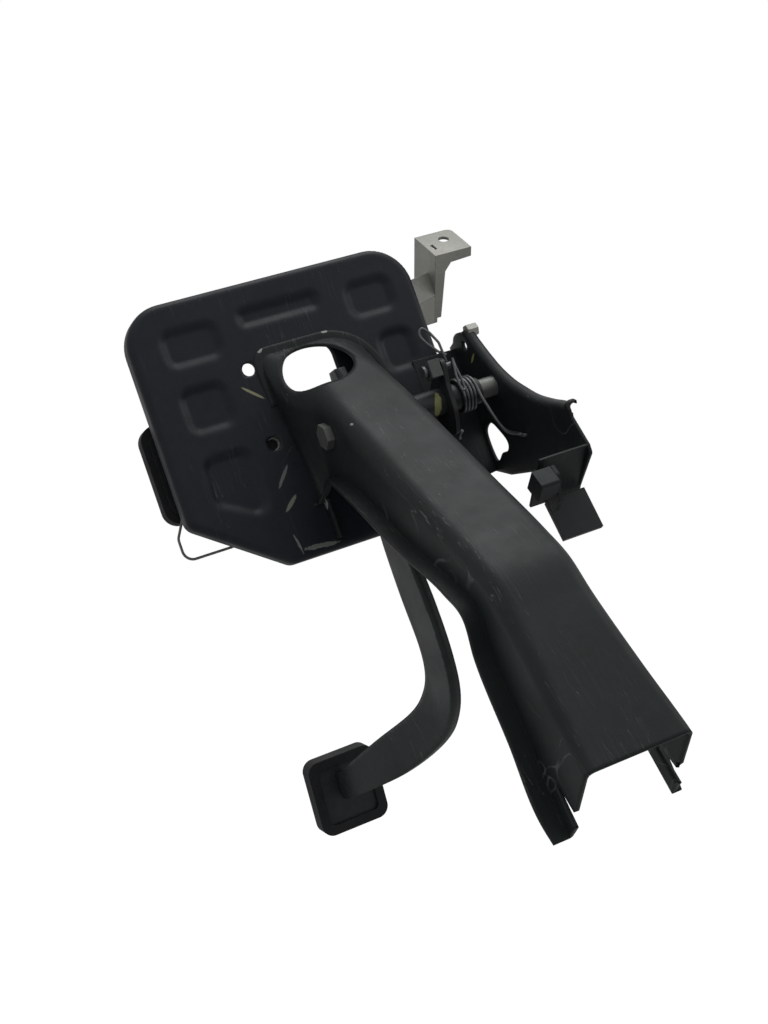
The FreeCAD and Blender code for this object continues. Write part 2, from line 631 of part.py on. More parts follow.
def relay_lever():
    flat_bar("return_lever", "YZ_Plane",
             [("pivotY - 18", "pivotZ + 10"), ("pivotY - 24", "pivotZ + 26"), ("pivotY - 12", "pivotZ + 30"),
              ("pivotY + 3", "pivotZ + 18"), ("pivotY + 17", "pivotZ + 8"), ("pivotY + 16", "pivotZ - 12"),
              ("pivotY + 4", "pivotZ - 27"), ("pivotY - 7", "pivotZ - 27"), ("pivotY - 16", "pivotZ - 12")],
             "leverX", "leverThick", {"12": [4, 5, 8], "5": [1, 2], "4": [6, 7], "10": [0, 3]},
             [("pivotY", "pivotZ", "hubRadius"), ("pivotY - 16", "pivotZ + 22", "2.6")])
    pin = cylinder_x("lever_pin_shank", "leverX - 12", "leverThick + 18", "2.5", "pivotY - 16", "pivotZ + 22")
    head = cylinder_x("lever_pin_head", "leverX - 14", "2", "4.5", "pivotY - 16", "pivotZ + 22")
    joined("lever_pin", [head, pin])
    yoke = doc.addObject("Part::Box", "yoke_block")
    for field, text in (("Length", "9"), ("Width", "12"), ("Height", "13"), ("Placement.Base.x", "leverX - 10"),
                        ("Placement.Base.y", "pivotY - 22"), ("Placement.Base.z", "pivotZ + 15.5")):
        yoke.setExpression(field, linked(text))
    bore = cylinder_x("yoke_bore", "leverX - 11", "12", "2.5", "pivotY - 16", "pivotZ + 22")
    trimmed("pin_yoke", yoke, bore)
    x, y, z = size("leverX") + size("leverThick") + 4, size("pivotY") - 16, size("pivotZ") + 22
    swept("spring_clip", [(x, y + 1, z + 3.2), (x - 1, y - 1, z + 9), (x - 2, y - 2, z + 18), (x - 6, y - 1, z + 27), (x - 11, y, z + 33),
                          (x - 14, y + 1, z + 27), (x - 10, y + 1, z + 20), (x - 4, y, z + 12), (x + 1.5, y + 0.5, z + 8)], 1.0, 6)
    swept("locking_wire", [(x + 3, y - 3.8, z + 2), (x + 1.5, y - 4.2, z - 8), (x + 1, y - 5, z - 16), (x + 1.6, y - 4.5, z - 21), (x + 5, y - 3.5, z - 21),
                           (x + 5, y - 3.5, z - 14), (x + 3.5, y - 3.6, z - 4), (x + 3.2, y - 3.6, z + 4)], 1.0, 4)


def tab_pieces():
    flat_bar("lower_tab", "YZ_Plane", [("-120", "-86.86"), ("-116", "-89.37"), ("-123.5", "-118"), ("-127.5", "-117")],
             "cheekX + cheekSheet - apronWidth + 8", "apronWidth - 8")
    flat_bar("tab_rib", "YZ_Plane", [("-152", "-66.77"), ("-130", "-80.58"), ("-134", "-98"), ("-146", "-92"), ("-156", "-74")],
             "cheekX - 34", "3", {"3": [2, 3, 4]})
    flat_bar("cable_clip", "YZ_Plane", [("-152", "-66.77"), ("-138", "-75.56"), ("-146", "-88"), ("-160", "-79")],
             "cheekX - apronWidth - 9", "14.6", {"2": [2, 3]})


def cheek_stud():
    shank = cylinder_x("stud_shank", "cheekX - 3", "cheekSheet + 14", "studRadius", "-22", "47")
    head = hex_prism("stud_head", "cheekX - 6", "6", "10", "-22", "47")
    nut = hex_prism("stud_nut", "cheekX + cheekSheet", "5", "10", "-22", "47")
    joined("cheek_stud", [shank, head, nut])


def foot_rest():
    flat_bar("foot_rest_bracket", "XZ_Plane",
             [("-restOut", "restTop - 8"), ("-restIn", "restTop - 8"), ("-restIn", "restBottom + 8"), ("-restOut", "restBottom + 8")],
             "-(restY + plateSheet)", "plateSheet", {"6": [0, 3]})
    body = new_body("foot_rest_pad")
    outside = new_sketch(body, "rest_outline", "XZ_Plane", lift="-(restY + plateSheet)")
    corners = [("-restOut - 5", "restTop"), ("-restIn", "restTop"), ("-restIn", "restBottom"), ("-restOut - 5", "restBottom")]
    outline(outside, corners)
    slab = pad(body, "rest_slab", outside, "restThick", reverse=True)
    slab = fillet(body, "rest_corners", slab, corner_edges(slab, outside, [0, 3]), "12")
    front = edges_where(slab, lambda e: min(v.Point.y for v in e.Vertexes) > size("restY") + size("plateSheet") + size("restThick") - 1e-4)
    fillet(body, "rest_edges", slab, front, "3")
    legs = new_body("foot_rest_legs")
    sketch = new_sketch(legs, "rest_legs_outline", "XY_Plane", lift="restBottom + 14")
    outline(sketch, [("-restIn - 18", "plateSheet"), ("-restIn - 18 + plateSheet", "plateSheet"),
                     ("-restIn - 18 + plateSheet", "restY - plateSheet"), ("-restIn - 1", "restY - plateSheet"),
                     ("-restIn - 1", "restY"), ("-restIn - 18", "restY")])
    pad(legs, "rest_legs_blank", sketch, "34")


def wire_bail():
    y = size("restY")
    swept("wire_bail", [(-128, y - 3, 12), (-137, y - 3, 7), (-137, y - 1, -11), (-144.5, y, -24), (-144.5, y, -41.5),
                        (-106, y, -41.5), (-100, y - 4, -40), (-96, y - 12, -37), (-96, y - 18, -34), (-96, size("plateSheet"), -34)], 1.0, 8)


def rear_nuts():
    nuts = []
    for number, up in enumerate(("studHoleLow",)):
        blank = hex_prism(f"weld_nut_hex_{number}", "0", "7", "15", "0", "0")
        blank.Placement = Placement(Vector(0, 0, 0), Rotation(Vector(1, 0, 0), -90))
        blank.setExpression("Placement.Base.x", linked("-studHoleAcross"))
        blank.setExpression("Placement.Base.y", linked("plateSheet"))
        blank.setExpression("Placement.Base.z", linked(up))
        bore = doc.addObject("Part::Cylinder", f"weld_nut_bore_{number}")
        bore.Radius = 4.2
        bore.Height = 20
        bore.Placement = Placement(Vector(0, -2, 0), Rotation(Vector(1, 0, 0), -90))
        bore.setExpression("Placement.Base.x", linked("-studHoleAcross"))
        bore.setExpression("Placement.Base.z", linked(up))
        nuts.append(trimmed("weld_nut", blank, bore))


def side_bracket():
    body = new_body("side_bracket")
    cheek = new_sketch(body, "cheek_outline", "YZ_Plane", lift="cheekX")
    outline(cheek, [("0", "60"), ("-32", "60"), ("-46", "40"), ("-64", "8"), ("-96", "-16"), ("-128", "-28"),
                    ("-149", "-30"), ("-158", "-63"), ("-115", "-90"), ("-100", "-92"), ("-62", "-70"), ("0", "-66")])
    blank = pad(body, "cheek_blank", cheek, "cheekSheet")
    for number, (radius, where) in enumerate({"14": [0, 1], "60": [3, 4], "30": [2, 10], "6": [7, 8]}.items()):
        blank = fillet(body, f"cheek_round_{number}", blank, corner_edges(blank, cheek, where), radius)
    window = new_sketch(body, "cheek_window", "YZ_Plane", lift="cheekX")
    outline(window, [("-20", "-12"), ("-36", "-16"), ("-48", "-36"), ("-34", "-52"), ("-12", "-50"), ("-10", "-22")])
    blank = pocket(body, "cheek_opening", window, "3 * cheekSheet", reverse=True)
    blank = fillet(body, "cheek_opening_corners", blank, corner_edges(blank, window, range(6)), "5")
    lip = new_sketch(body, "lip_outline", "YZ_Plane", lift="cheekX")
    outline(lip, [("-32", "60"), ("-46", "40"), ("-64", "8"), ("-96", "-16"), ("-128", "-28"), ("-149", "-30"),
                  ("-149.5", "-32"), ("-127.5", "-30.3"), ("-94.8", "-18.2"), ("-62", "6.4"), ("-44", "38.8"), ("-31", "58")])
    pad(body, "lip_blank", lip, "cheekLip + cheekSheet")
    apron = new_sketch(body, "apron_outline", "YZ_Plane", lift="cheekX")
    outline(apron, [("-158", "-63"), ("-115", "-90"), ("-113.7", "-87.9"), ("-155.5", "-61.6")])
    pad(body, "apron_blank", apron, "apronWidth", reverse=True)
    foot = new_sketch(body, "cheek_foot", "XZ_Plane")
    outline(foot, [("plateRight - 22", "52"), ("cheekX + cheekSheet", "52"), ("cheekX + cheekSheet", "-56"), ("plateRight - 22", "-56")])
    pad(body, "cheek_foot_plate", foot, "cheekSheet")
    bore = new_sketch(body, "cheek_bore", "YZ_Plane")
    circle(bore, "pivotY", "pivotZ", "boltRadius + 0.4")
    circle(bore, "-22", "47", "studRadius")
    circle(bore, "pivotY - 22", "pivotZ - 43", "wireRadius + 0.5")
    pocket(body, "cheek_bored", bore, "2 * cheekX", reverse=True)


def zinc_bracket():
    """A bolt-on foot at the slope of the channel, with a leg that runs back past the plate."""
    body = new_body("zinc_foot_and_leg")
    body.Placement = Placement(Vector(0, 0, 0), Rotation(Vector(1, 0, 0), 1))
    body.setExpression("Placement.Rotation.Angle", linked("footSlope"))
    body.setExpression("Placement.Base.x", linked("zincX"))
    body.setExpression("Placement.Base.y", linked("zincY"))
    body.setExpression("Placement.Base.z", linked("zincZ"))
    top = new_sketch(body, "zinc_top", "XY_Plane")
    outline(top, [("0", "0"), ("zincWide", "0"), ("zincWide", "zincLong"), ("0", "zincLong")])
    foot = pad(body, "zinc_foot", top, "zincSheet", reverse=True)
    foot = fillet(body, "zinc_foot_corners", foot, corner_edges(foot, top, [1, 2]), "5")
    leg = new_sketch(body, "zinc_leg", "YZ_Plane")
    outline(leg, [("0", "0"), ("zincLong", "0"), ("zincLong", "-52"), ("zincLong + 4", "-zincDeep"), ("20", "-zincDeep"), ("0", "-60")])
    feature = pad(body, "zinc_leg_plate", leg, "zincSheet")
    front = new_sketch(body, "zinc_front", "XZ_Plane")
    outline(front, [("0", "0"), ("zincWide", "0"), ("zincWide", "-8"), ("14", "-9"), ("9", "-16"), ("6", "-56"), ("0", "-56")])
    feature = pad(body, "zinc_front_flange", front, "zincSheet", reverse=True)
    hole = new_sketch(body, "zinc_holes", "XY_Plane")
    circle(hole, "zincWide - 13", "zincLong - 13", "4.25")
    outline(hole, [("4.5", "9"), ("7", "9"), ("7", "17"), ("4.5", "17")])
    pocket(body, "zinc_drilled", hole, "3 * zincSheet")
    tab = new_body("zinc_tab")
    back = new_sketch(tab, "zinc_tab_outline", "XZ_Plane", lift="-rimDepth")
    outline(back, [("plateRight - 9", "112"), ("zincX + zincSheet", "116"), ("zincX + zincSheet", "97"), ("plateRight - 9", "90")])
    pad(tab, "zinc_tab_blank", back, "zincSheet", reverse=True)
    joined("zinc_bracket", [body, tab])


mounting_plate()
support_channel()
pivot_parts()
brake_arm()
pedal_pads()
side_bracket()
zinc_bracket()
return_spring()
relay_lever()
tab_pieces()
cheek_stud()
foot_rest()
wire_bail()
rear_nuts()
doc.recompute()

PIECES = ["mounting_plate", "support_channel", "pivot_bolt", "pivot_nut", "pivot_washer", "pedal_hub", "bush_left",
          "bush_right", "spacer_sleeve", "brake_arm", "pedal_pad_plate", "pedal_pad", "return_spring", "return_lever",
          "lever_pin", "pin_yoke", "spring_clip", "locking_wire", "side_bracket", "lower_tab", "tab_rib", "cable_clip",
          "cheek_stud", "zinc_bracket", "foot_rest_bracket", "foot_rest_pad", "foot_rest_legs", "wire_bail", "weld_nut"]
for item in doc.Objects:
    if "Invalid" in item.State or "Error" in item.State:
        raise RuntimeError(f"{item.Label} did not build: {item.State}")
for label in PIECES:
    piece = doc.getObjectsByLabel(label)[0]
    shape = piece.Shape
    if shape.isNull() or not shape.isValid():
        raise RuntimeError(f"{label} is not a sound solid")
    box = shape.optimalBoundingBox(False)
    low, high = (box.XMin, box.YMin, box.ZMin), (box.XMax, box.YMax, box.ZMax)
    print(f"{label:20s} {len(shape.Solids)} solid {shape.Volume:10.0f} mm3 ", [round(v, 1) for v in (*low, *high)])
    shape.exportStep(f"parts/{label}.step")
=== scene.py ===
import json
import math
import bmesh
import bpy
import numpy
from mathutils import Matrix, Vector


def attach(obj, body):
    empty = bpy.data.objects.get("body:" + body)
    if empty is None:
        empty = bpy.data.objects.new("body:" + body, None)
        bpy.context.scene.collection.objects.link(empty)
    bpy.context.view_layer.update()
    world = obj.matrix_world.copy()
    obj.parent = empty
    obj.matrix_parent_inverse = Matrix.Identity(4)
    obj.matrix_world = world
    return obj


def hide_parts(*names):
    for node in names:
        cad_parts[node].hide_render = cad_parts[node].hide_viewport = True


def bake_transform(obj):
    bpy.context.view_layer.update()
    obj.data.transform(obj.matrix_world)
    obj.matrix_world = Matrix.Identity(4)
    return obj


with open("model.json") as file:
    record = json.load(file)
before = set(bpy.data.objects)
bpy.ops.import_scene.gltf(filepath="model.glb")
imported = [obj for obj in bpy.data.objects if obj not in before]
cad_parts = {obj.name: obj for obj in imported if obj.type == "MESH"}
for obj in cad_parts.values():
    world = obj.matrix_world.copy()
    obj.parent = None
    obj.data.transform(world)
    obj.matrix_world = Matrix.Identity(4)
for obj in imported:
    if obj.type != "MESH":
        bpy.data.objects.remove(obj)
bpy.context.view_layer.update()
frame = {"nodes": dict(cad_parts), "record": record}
scene = bpy.context.scene
nodes = frame["nodes"]
print("frame loaded:", len(nodes), "nodes")


# shader helpers

def newMaterial(name):
    material = bpy.data.materials.new(name)
    material.use_nodes = True
    tree = material.node_tree
    tree.nodes.clear()
    output = tree.nodes.new("ShaderNodeOutputMaterial")
    shader = tree.nodes.new("ShaderNodeBsdfPrincipled")
    tree.links.new(shader.outputs[0], output.inputs[0])
    return material, tree, shader


def put(tree, socket, value):
    if isinstance(value, bpy.types.NodeSocket):
        tree.links.new(value, socket)
    else:
        socket.default_value = value


def objectCoords(tree):
    for node in tree.nodes:
        if node.type == "TEX_COORD":
            return node.outputs["Object"]
    return tree.nodes.new("ShaderNodeTexCoord").outputs["Object"]


def placed(tree, coords, spot=(0, 0, 0), turn=(0, 0, 0), scale=(1, 1, 1), kind="POINT"):
    node = tree.nodes.new("ShaderNodeMapping")
    node.vector_type = kind
    tree.links.new(coords, node.inputs["Vector"])
    node.inputs["Location"].default_value = spot
    node.inputs["Rotation"].default_value = turn
    node.inputs["Scale"].default_value = scale
    return node.outputs[0]


def noise(tree, coords, scale, detail=4.0, rough=0.55, bend=0.0):
    node = tree.nodes.new("ShaderNodeTexNoise")
    tree.links.new(coords, node.inputs["Vector"])
    node.inputs["Scale"].default_value = scale
    node.inputs["Detail"].default_value = detail
    node.inputs["Roughness"].default_value = rough
    node.inputs["Distortion"].default_value = bend
    return node.outputs["Fac"]


def spread(tree, value, low, high, toLow=0.0, toHigh=1.0, smooth=False):
    node = tree.nodes.new("ShaderNodeMapRange")
    node.interpolation_type = "SMOOTHSTEP" if smooth else "LINEAR"
    put(tree, node.inputs["Value"], value)
    node.inputs["From Min"].default_value = low
    node.inputs["From Max"].default_value = high
    node.inputs["To Min"].default_value = toLow
    node.inputs["To Max"].default_value = toHigh
    return node.outputs["Result"]


def sums(tree, way, a, b=0.0):
    node = tree.nodes.new("ShaderNodeMath")
    node.operation = way
    put(tree, node.inputs[0], a)
    put(tree, node.inputs[1], b)
    return node.outputs[0]


def blendColour(tree, share, a, b):
    node = tree.nodes.new("ShaderNodeMix")
    node.data_type = "RGBA"
    put(tree, node.inputs["Factor"], share)
    put(tree, node.inputs["A"], a if isinstance(a, bpy.types.NodeSocket) else (*a, 1))
    put(tree, node.inputs["B"], b if isinstance(b, bpy.types.NodeSocket) else (*b, 1))
    return node.outputs["Result"]


usualMark = {"turn": (0, 0, 0), "ragged": 0.35, "grain": 220, "soft": 0.12, "strength": 0.8}
scratchLook = {
    "thin": 0.045, "band": 0.006, "patchScale": 14, "patch": (0.5, 0.62), "seeds": (1.7, 3.1), "depth": 0.25,
}
usualLook = {
    "cloudScale": 11, "fineScale": 160, "fineShare": 0.35, "dustShare": 0.3, "dustScale": 26,
    "scratchScale": 260, "scratchShare": 0.02, "scratchStrength": 0.5, "metal": 0.0, "shine": 0.35,
    "skinScale": 520, "skin": 0.3, "dentScale": 22, "dents": 0.6,
    "bump": 0.12, "bumpHeight": 0.002, "edge": 0.0008, "edgeSamples": 4,
    "cloudBand": (0.32, 0.68), "fineBand": (0.35, 0.75), "upward": (0.2, 1.0), "dustBand": (0.35, 0.7),
    "glossBand": (0.3, 0.7), "glossScale": 2.3,
}


def spotMask(tree, coords, mark):
    # an ellipsoid with a ragged rim, 1 inside
    turn = [math.radians(angle) for angle in mark["turn"]]
    local = placed(tree, coords, mark["spot"], turn, mark["half"], "TEXTURE")
    length = tree.nodes.new("ShaderNodeVectorMath")
    length.operation = "LENGTH"
    tree.links.new(local, length.inputs[0])
    grain = noise(tree, coords, mark["grain"], 5, 0.65)
    uneven = sums(tree, "MULTIPLY", sums(tree, "SUBTRACT", grain, 0.5), 2 * mark["ragged"])
    reach = sums(tree, "ADD", length.outputs["Value"], uneven)
    return spread(tree, reach, 1.0 - mark["soft"], 1.0 + mark["soft"], 1.0, 0.0, True)


def hairlines(tree, coords, scale, turn, share, seed):
    # long thin scratches: a stretched noise cut to its narrow middle band
    narrow = scale * scratchLook["thin"]
    stretched = placed(tree, coords, (seed, seed * 0.7, seed * 1.3), turn, (scale, narrow, narrow))
    line = noise(tree, stretched, 1.0, 2.0, 0.5)
    band = sums(tree, "ABSOLUTE", sums(tree, "SUBTRACT", line, 0.5))
    thin = spread(tree, band, 0.0, scratchLook["band"], 1.0, 0.0)
    cloud = noise(tree, placed(tree, coords, (seed, 3, seed)), scratchLook["patchScale"], 3)
    low, high = scratchLook["patch"]
    patch = spread(tree, cloud, low + share, high + share, 0.0, 1.0)
    return sums(tree, "MULTIPLY", thin, patch)


def coat(name, given):
    look = {**usualLook, **given}
    material, tree, shader = newMaterial(name)
    coords = objectCoords(tree)
    cloud = noise(tree, coords, look["cloudScale"], 5, 0.6)
    fine = noise(tree, coords, look["fineScale"], 4, 0.65)
    base = blendColour(tree, spread(tree, cloud, *look["cloudBand"], 0, 1, True), look["base"], look["tint"])
    flecks = spread(tree, fine, *look["fineBand"], 0.0, look["fineShare"])
    base = blendColour(tree, flecks, base, look["fleck"])
    if "dust" in look:
        normal = tree.nodes.new("ShaderNodeNewGeometry").outputs["Normal"]
        parts = tree.nodes.new("ShaderNodeSeparateXYZ")
        tree.links.new(normal, parts.inputs[0])
        above = spread(tree, parts.outputs["Z"], *look["upward"], 0.0, look["dustShare"])
        patches = spread(tree, noise(tree, coords, look["dustScale"], 6, 0.7), *look["dustBand"])
        base = blendColour(tree, sums(tree, "MULTIPLY", above, patches), base, look["dust"])
    wear = None
    firstSeed, seedStep = scratchLook["seeds"]
    for k, turn in enumerate(look.get("scratches", ())):
        seed = seedStep * k + firstSeed
        lines = hairlines(tree, coords, look["scratchScale"], turn, look["scratchShare"], seed)
        wear = lines if wear is None else sums(tree, "MAXIMUM", wear, lines)
    if wear is not None:
        base = blendColour(tree, sums(tree, "MULTIPLY", wear, look["scratchStrength"]), base, look["scratch"])
    for entry in look.get("marks", ()):
        mark = {**usualMark, **entry}
        share = sums(tree, "MULTIPLY", spotMask(tree, coords, mark), mark["strength"])
        base = blendColour(tree, share, base, mark["colour"])
    put(tree, shader.inputs["Base Color"], base)
    gloss = noise(tree, coords, look["cloudScale"] * look["glossScale"], 5, 0.6)
    put(tree, shader.inputs["Roughness"], spread(tree, gloss, *look["glossBand"], *look["rough"]))
    shader.inputs["Metallic"].default_value = look["metal"]
    shader.inputs["Specular IOR Level"].default_value = look["shine"]
    skin = sums(tree, "MULTIPLY", noise(tree, coords, look["skinScale"], 3, 0.6), look["skin"])
    dents = sums(tree, "MULTIPLY", noise(tree, coords, look["dentScale"], 2, 0.5), look["dents"])
    height = sums(tree, "ADD", skin, dents)
    if wear is not None:
        height = sums(tree, "SUBTRACT", height, sums(tree, "MULTIPLY", wear, scratchLook["depth"]))
    bump = tree.nodes.new("ShaderNodeBump")
    bump.inputs["Strength"].default_value = look["bump"]
    bump.inputs["Distance"].default_value = look["bumpHeight"]
    tree.links.new(height, bump.inputs["Height"])
    edge = tree.nodes.new("ShaderNodeBevel")
    edge.samples = look["edgeSamples"]
    edge.inputs["Radius"].default_value = look["edge"]
    tree.links.new(edge.outputs[0], bump.inputs["Normal"])
    tree.links.new(bump.outputs[0], shader.inputs["Normal"])
    return material


# finishes, with the marks of paint and weld in metres

def paintMark(spot, half, colour, turn=(0, 0, 0), **more):
    return {"spot": spot, "half": half, "colour": colour, "turn": turn, **more}


weldGrey = (0.16, 0.17, 0.16)
seamMarks = [
    paintMark((-0.0396, -0.002, -0.0025), (0.0080, 0.006, 0.0007), (0.30, 0.32, 0.31), (0, 88, 0)),
    paintMark((-0.0375, -0.002, -0.0300), (0.0110, 0.006, 0.0006), (0.28, 0.30, 0.29), (0, 84, 0)),
]
plateMarks = [
    paintMark((-0.0621, 0, 0.0605), (0.0105, 0.004, 0.0012), (0.24, 0.25, 0.15), (0, 41, 0)),
    paintMark((-0.0607, -0.001, -0.005), (0.0098, 0.005, 0.0013), (0.13, 0.135, 0.13), (0, -50.6, 0)),
    paintMark((-0.0619, -0.001, -0.0259), (0.0075, 0.005, 0.0016), (0.17, 0.18, 0.15), (0, -41.3, 0)),
    paintMark((-0.0500, -0.001, -0.0625), (0.0150, 0.005, 0.0017), weldGrey, (0, 6, 0), ragged=0.8),
    paintMark((-0.0668, -0.001, -0.0560), (0.0070, 0.005, 0.0009), weldGrey, (0, 80, 0), ragged=0.8),
    *seamMarks,
]
hoodMarks = [
    *seamMarks,
    paintMark((-0.0470, -0.001, 0.0905), (0.0030, 0.004, 0.0030), (0.30, 0.32, 0.30), grain=600),
    paintMark((0.0072, -0.001, 0.0905), (0.0030, 0.004, 0.0018), (0.30, 0.32, 0.30), grain=600),
    paintMark((-0.0264, -0.0789, 0.0081), (0.0010, 0.003, 0.0010), (0.30, 0.31, 0.30)),
    paintMark((-0.0190, -0.0818, 0.0053), (0.0010, 0.003, 0.0010), (0.40, 0.41, 0.40)),
]
hubMarks = [
    paintMark((0.0525, -0.0540, 0.0060), (0.0028, 0.010, 0.0090), (0.26, 0.27, 0.10), (0, 12, 0), ragged=0.5),
]
cheekMarks = [paintMark((0.1070, -0.0280, 0.0355), (0.006, 0.0012, 0.0060), (0.30, 0.30, 0.10), (62, 0, 0))]
finishes = {
    "plate_paint": {
        "base": (0.0065, 0.0078, 0.0115), "tint": (0.009, 0.011, 0.0155), "fleck": (0.014, 0.017, 0.022),
        "rough": (0.36, 0.52), "shine": 0.22, "scratch": (0.09, 0.09, 0.085),
        "scratches": [(0, 0.3, 0), (0, 1.2, 0)], "dust": (0.04, 0.04, 0.038), "dustShare": 0.2,
        "marks": plateMarks,
    },
    "channel_paint": {
        "base": (0.0075, 0.0100, 0.0105), "tint": (0.0115, 0.0150, 0.0155), "fleck": (0.0165, 0.0205, 0.0215),
        "rough": (0.42, 0.58), "shine": 0.22, "scratch": (0.16, 0.17, 0.17),
        "scratches": [(0.7, 0, 0.1), (0.7, 0, 0.5)], "dust": (0.06, 0.06, 0.055), "dustShare": 0.1,
        "marks": hoodMarks,
    },
    "arm_paint": {
        "base": (0.012, 0.0145, 0.0155), "tint": (0.019, 0.0215, 0.0225), "fleck": (0.032, 0.034, 0.035),
        "rough": (0.38, 0.55), "shine": 0.25, "scratch": (0.18, 0.18, 0.17), "scratches": [(0.2, 1.5, 0)],
    },
    "bracket_paint": {
        "base": (0.0075, 0.0095, 0.0105), "tint": (0.012, 0.0145, 0.0155), "fleck": (0.02, 0.023, 0.024),
        "rough": (0.38, 0.56), "shine": 0.22, "scratch": (0.15, 0.15, 0.14), "scratches": [(1.2, 0.4, 0)],
        "dust": (0.04, 0.04, 0.038), "dustShare": 0.15, "marks": cheekMarks,
    },
    "hub_paint": {
        "base": (0.010, 0.0115, 0.0125), "tint": (0.016, 0.018, 0.019), "fleck": (0.03, 0.032, 0.033),
        "rough": (0.35, 0.5), "shine": 0.3, "marks": hubMarks,
    },
    "dark_steel": {
        "base": (0.085, 0.095, 0.09), "tint": (0.13, 0.14, 0.13), "fleck": (0.2, 0.2, 0.18),
        "rough": (0.36, 0.55), "metal": 0.6, "shine": 0.5, "edge": 0.0005, "fineScale": 420,
    },
    "spring_steel": {
        "base": (0.07, 0.075, 0.078), "tint": (0.12, 0.125, 0.13), "fleck": (0.05, 0.05, 0.05),
        "rough": (0.3, 0.45), "metal": 0.7, "shine": 0.5, "edge": 0.0002, "fineScale": 500,
    },
    "zinc_plate": {
        "base": (0.25, 0.25, 0.23), "tint": (0.34, 0.335, 0.31), "fleck": (0.17, 0.17, 0.15),
        "rough": (0.4, 0.55), "metal": 0.35, "shine": 0.5, "edge": 0.0006, "fineScale": 300, "fineShare": 0.4,
        "scratch": (0.3, 0.3, 0.28), "scratches": [(0.4, 0.2, 0.9)],
    },
    "bush_plastic": {
        "base": (0.05, 0.05, 0.05), "tint": (0.07, 0.07, 0.07), "fleck": (0.09, 0.09, 0.09),
        "rough": (0.45, 0.6),
    },
    "clip_plastic": {
        "base": (0.03, 0.033, 0.034), "tint": (0.05, 0.055, 0.056), "fleck": (0.09, 0.09, 0.075),
        "rough": (0.4, 0.6),
    },
    "pad_rubber": {
        "base": (0.006, 0.0072, 0.008), "tint": (0.009, 0.0105, 0.0112), "fleck": (0.018, 0.0195, 0.02),
        "rough": (0.55, 0.75), "shine": 0.22, "dust": (0.05, 0.05, 0.048), "dustShare": 0.15, "edge": 0.0012,
    },
    "rest_rubber": {
        "base": (0.005, 0.0058, 0.0068), "tint": (0.008, 0.0092, 0.0105), "fleck": (0.018, 0.018, 0.019),
        "rough": (0.6, 0.8), "shine": 0.25, "edge": 0.0012,
    },
}
materials = {slot: coat(slot, look) for slot, look in finishes.items()}
slotOf = {part["node"]: part["material_slot"] for part in frame["record"]["subparts"]}
slotOf["pedal_hub"] = "hub_paint"
for name, piece in nodes.items():
    piece.data.materials.clear()
    piece.data.materials.append(materials[slotOf[name]])
print("finishes:", len(materials))


# mesh helpers

tiny = 1e-9
farAway = 1e9


def addPiece(mesh, name, slot, body=None, rounded=True):
    piece = bpy.data.objects.new(name, mesh)
    scene.collection.objects.link(piece)
    mesh.materials.append(materials[slot])
    for face in mesh.polygons:
        face.use_smooth = rounded
    if body:
        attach(piece, body)
    return piece


def finishMesh(bm, name, slot, body, rounded=True, facing=True):
    if facing:
        bmesh.ops.recalc_face_normals(bm, faces=bm.faces)
    mesh = bpy.data.meshes.new(name)
    bm.to_mesh(mesh)
    bm.free()
    return addPiece(mesh, name, slot, body, rounded)


# sheets: a grid of cells, trimmed to a rim in its own flat pattern and laid on a surface, in mm

def loopDistance(spots, loop):
    # signed distance to a closed loop, negative inside, with the nearest place on it
    best = numpy.full(len(spots), farAway)
    near = numpy.zeros_like(spots)
    inside = numpy.zeros(len(spots), bool)
    for a, b in zip(loop, numpy.roll(loop, -1, axis=0)):
        side = b - a
        share = numpy.clip(((spots - a) @ side) / max(side @ side, tiny), 0, 1)
        place = a + share[:, None] * side
        gap = numpy.linalg.norm(spots - place, axis=1)
        closer = gap < best
        best = numpy.where(closer, gap, best)
        near[closer] = place[closer]
        crosses = (a[1] > spots[:, 1]) != (b[1] > spots[:, 1])
        if side[1]:
            inside ^= crosses & (spots[:, 0] < a[0] + (spots[:, 1] - a[1]) * side[0] / side[1])
    return numpy.where(inside, -best, best), near


def roundedLoop(corners, radii, steps=10):
    # the corners of a convex polygon, each replaced by an arc
    corners = [Vector(corner) for corner in corners]
    points = []
    for k, corner in enumerate(corners):
        before = (corners[k - 1] - corner).normalized()
        after = (corners[(k + 1) % len(corners)] - corner).normalized()
        half = before.angle(after) / 2
        middle = corner + (before + after).normalized() * (radii[k] / math.sin(half))
        start = corner + before * (radii[k] / math.tan(half)) - middle
        end = corner + after * (radii[k] / math.tan(half)) - middle
        start, end = start.normalized(), end.normalized()
        points += [middle + start.slerp(end, step / steps) * radii[k] for step in range(steps + 1)]
    return numpy.array([tuple(point) for point in points])


def smooth(value):
    value = numpy.clip(value, 0, 1)
    return value * value * (3 - 2 * value)


rimLook = {"steps": 4, "probe": 0.01, "cells": 2.5, "flattest": 1e-6}


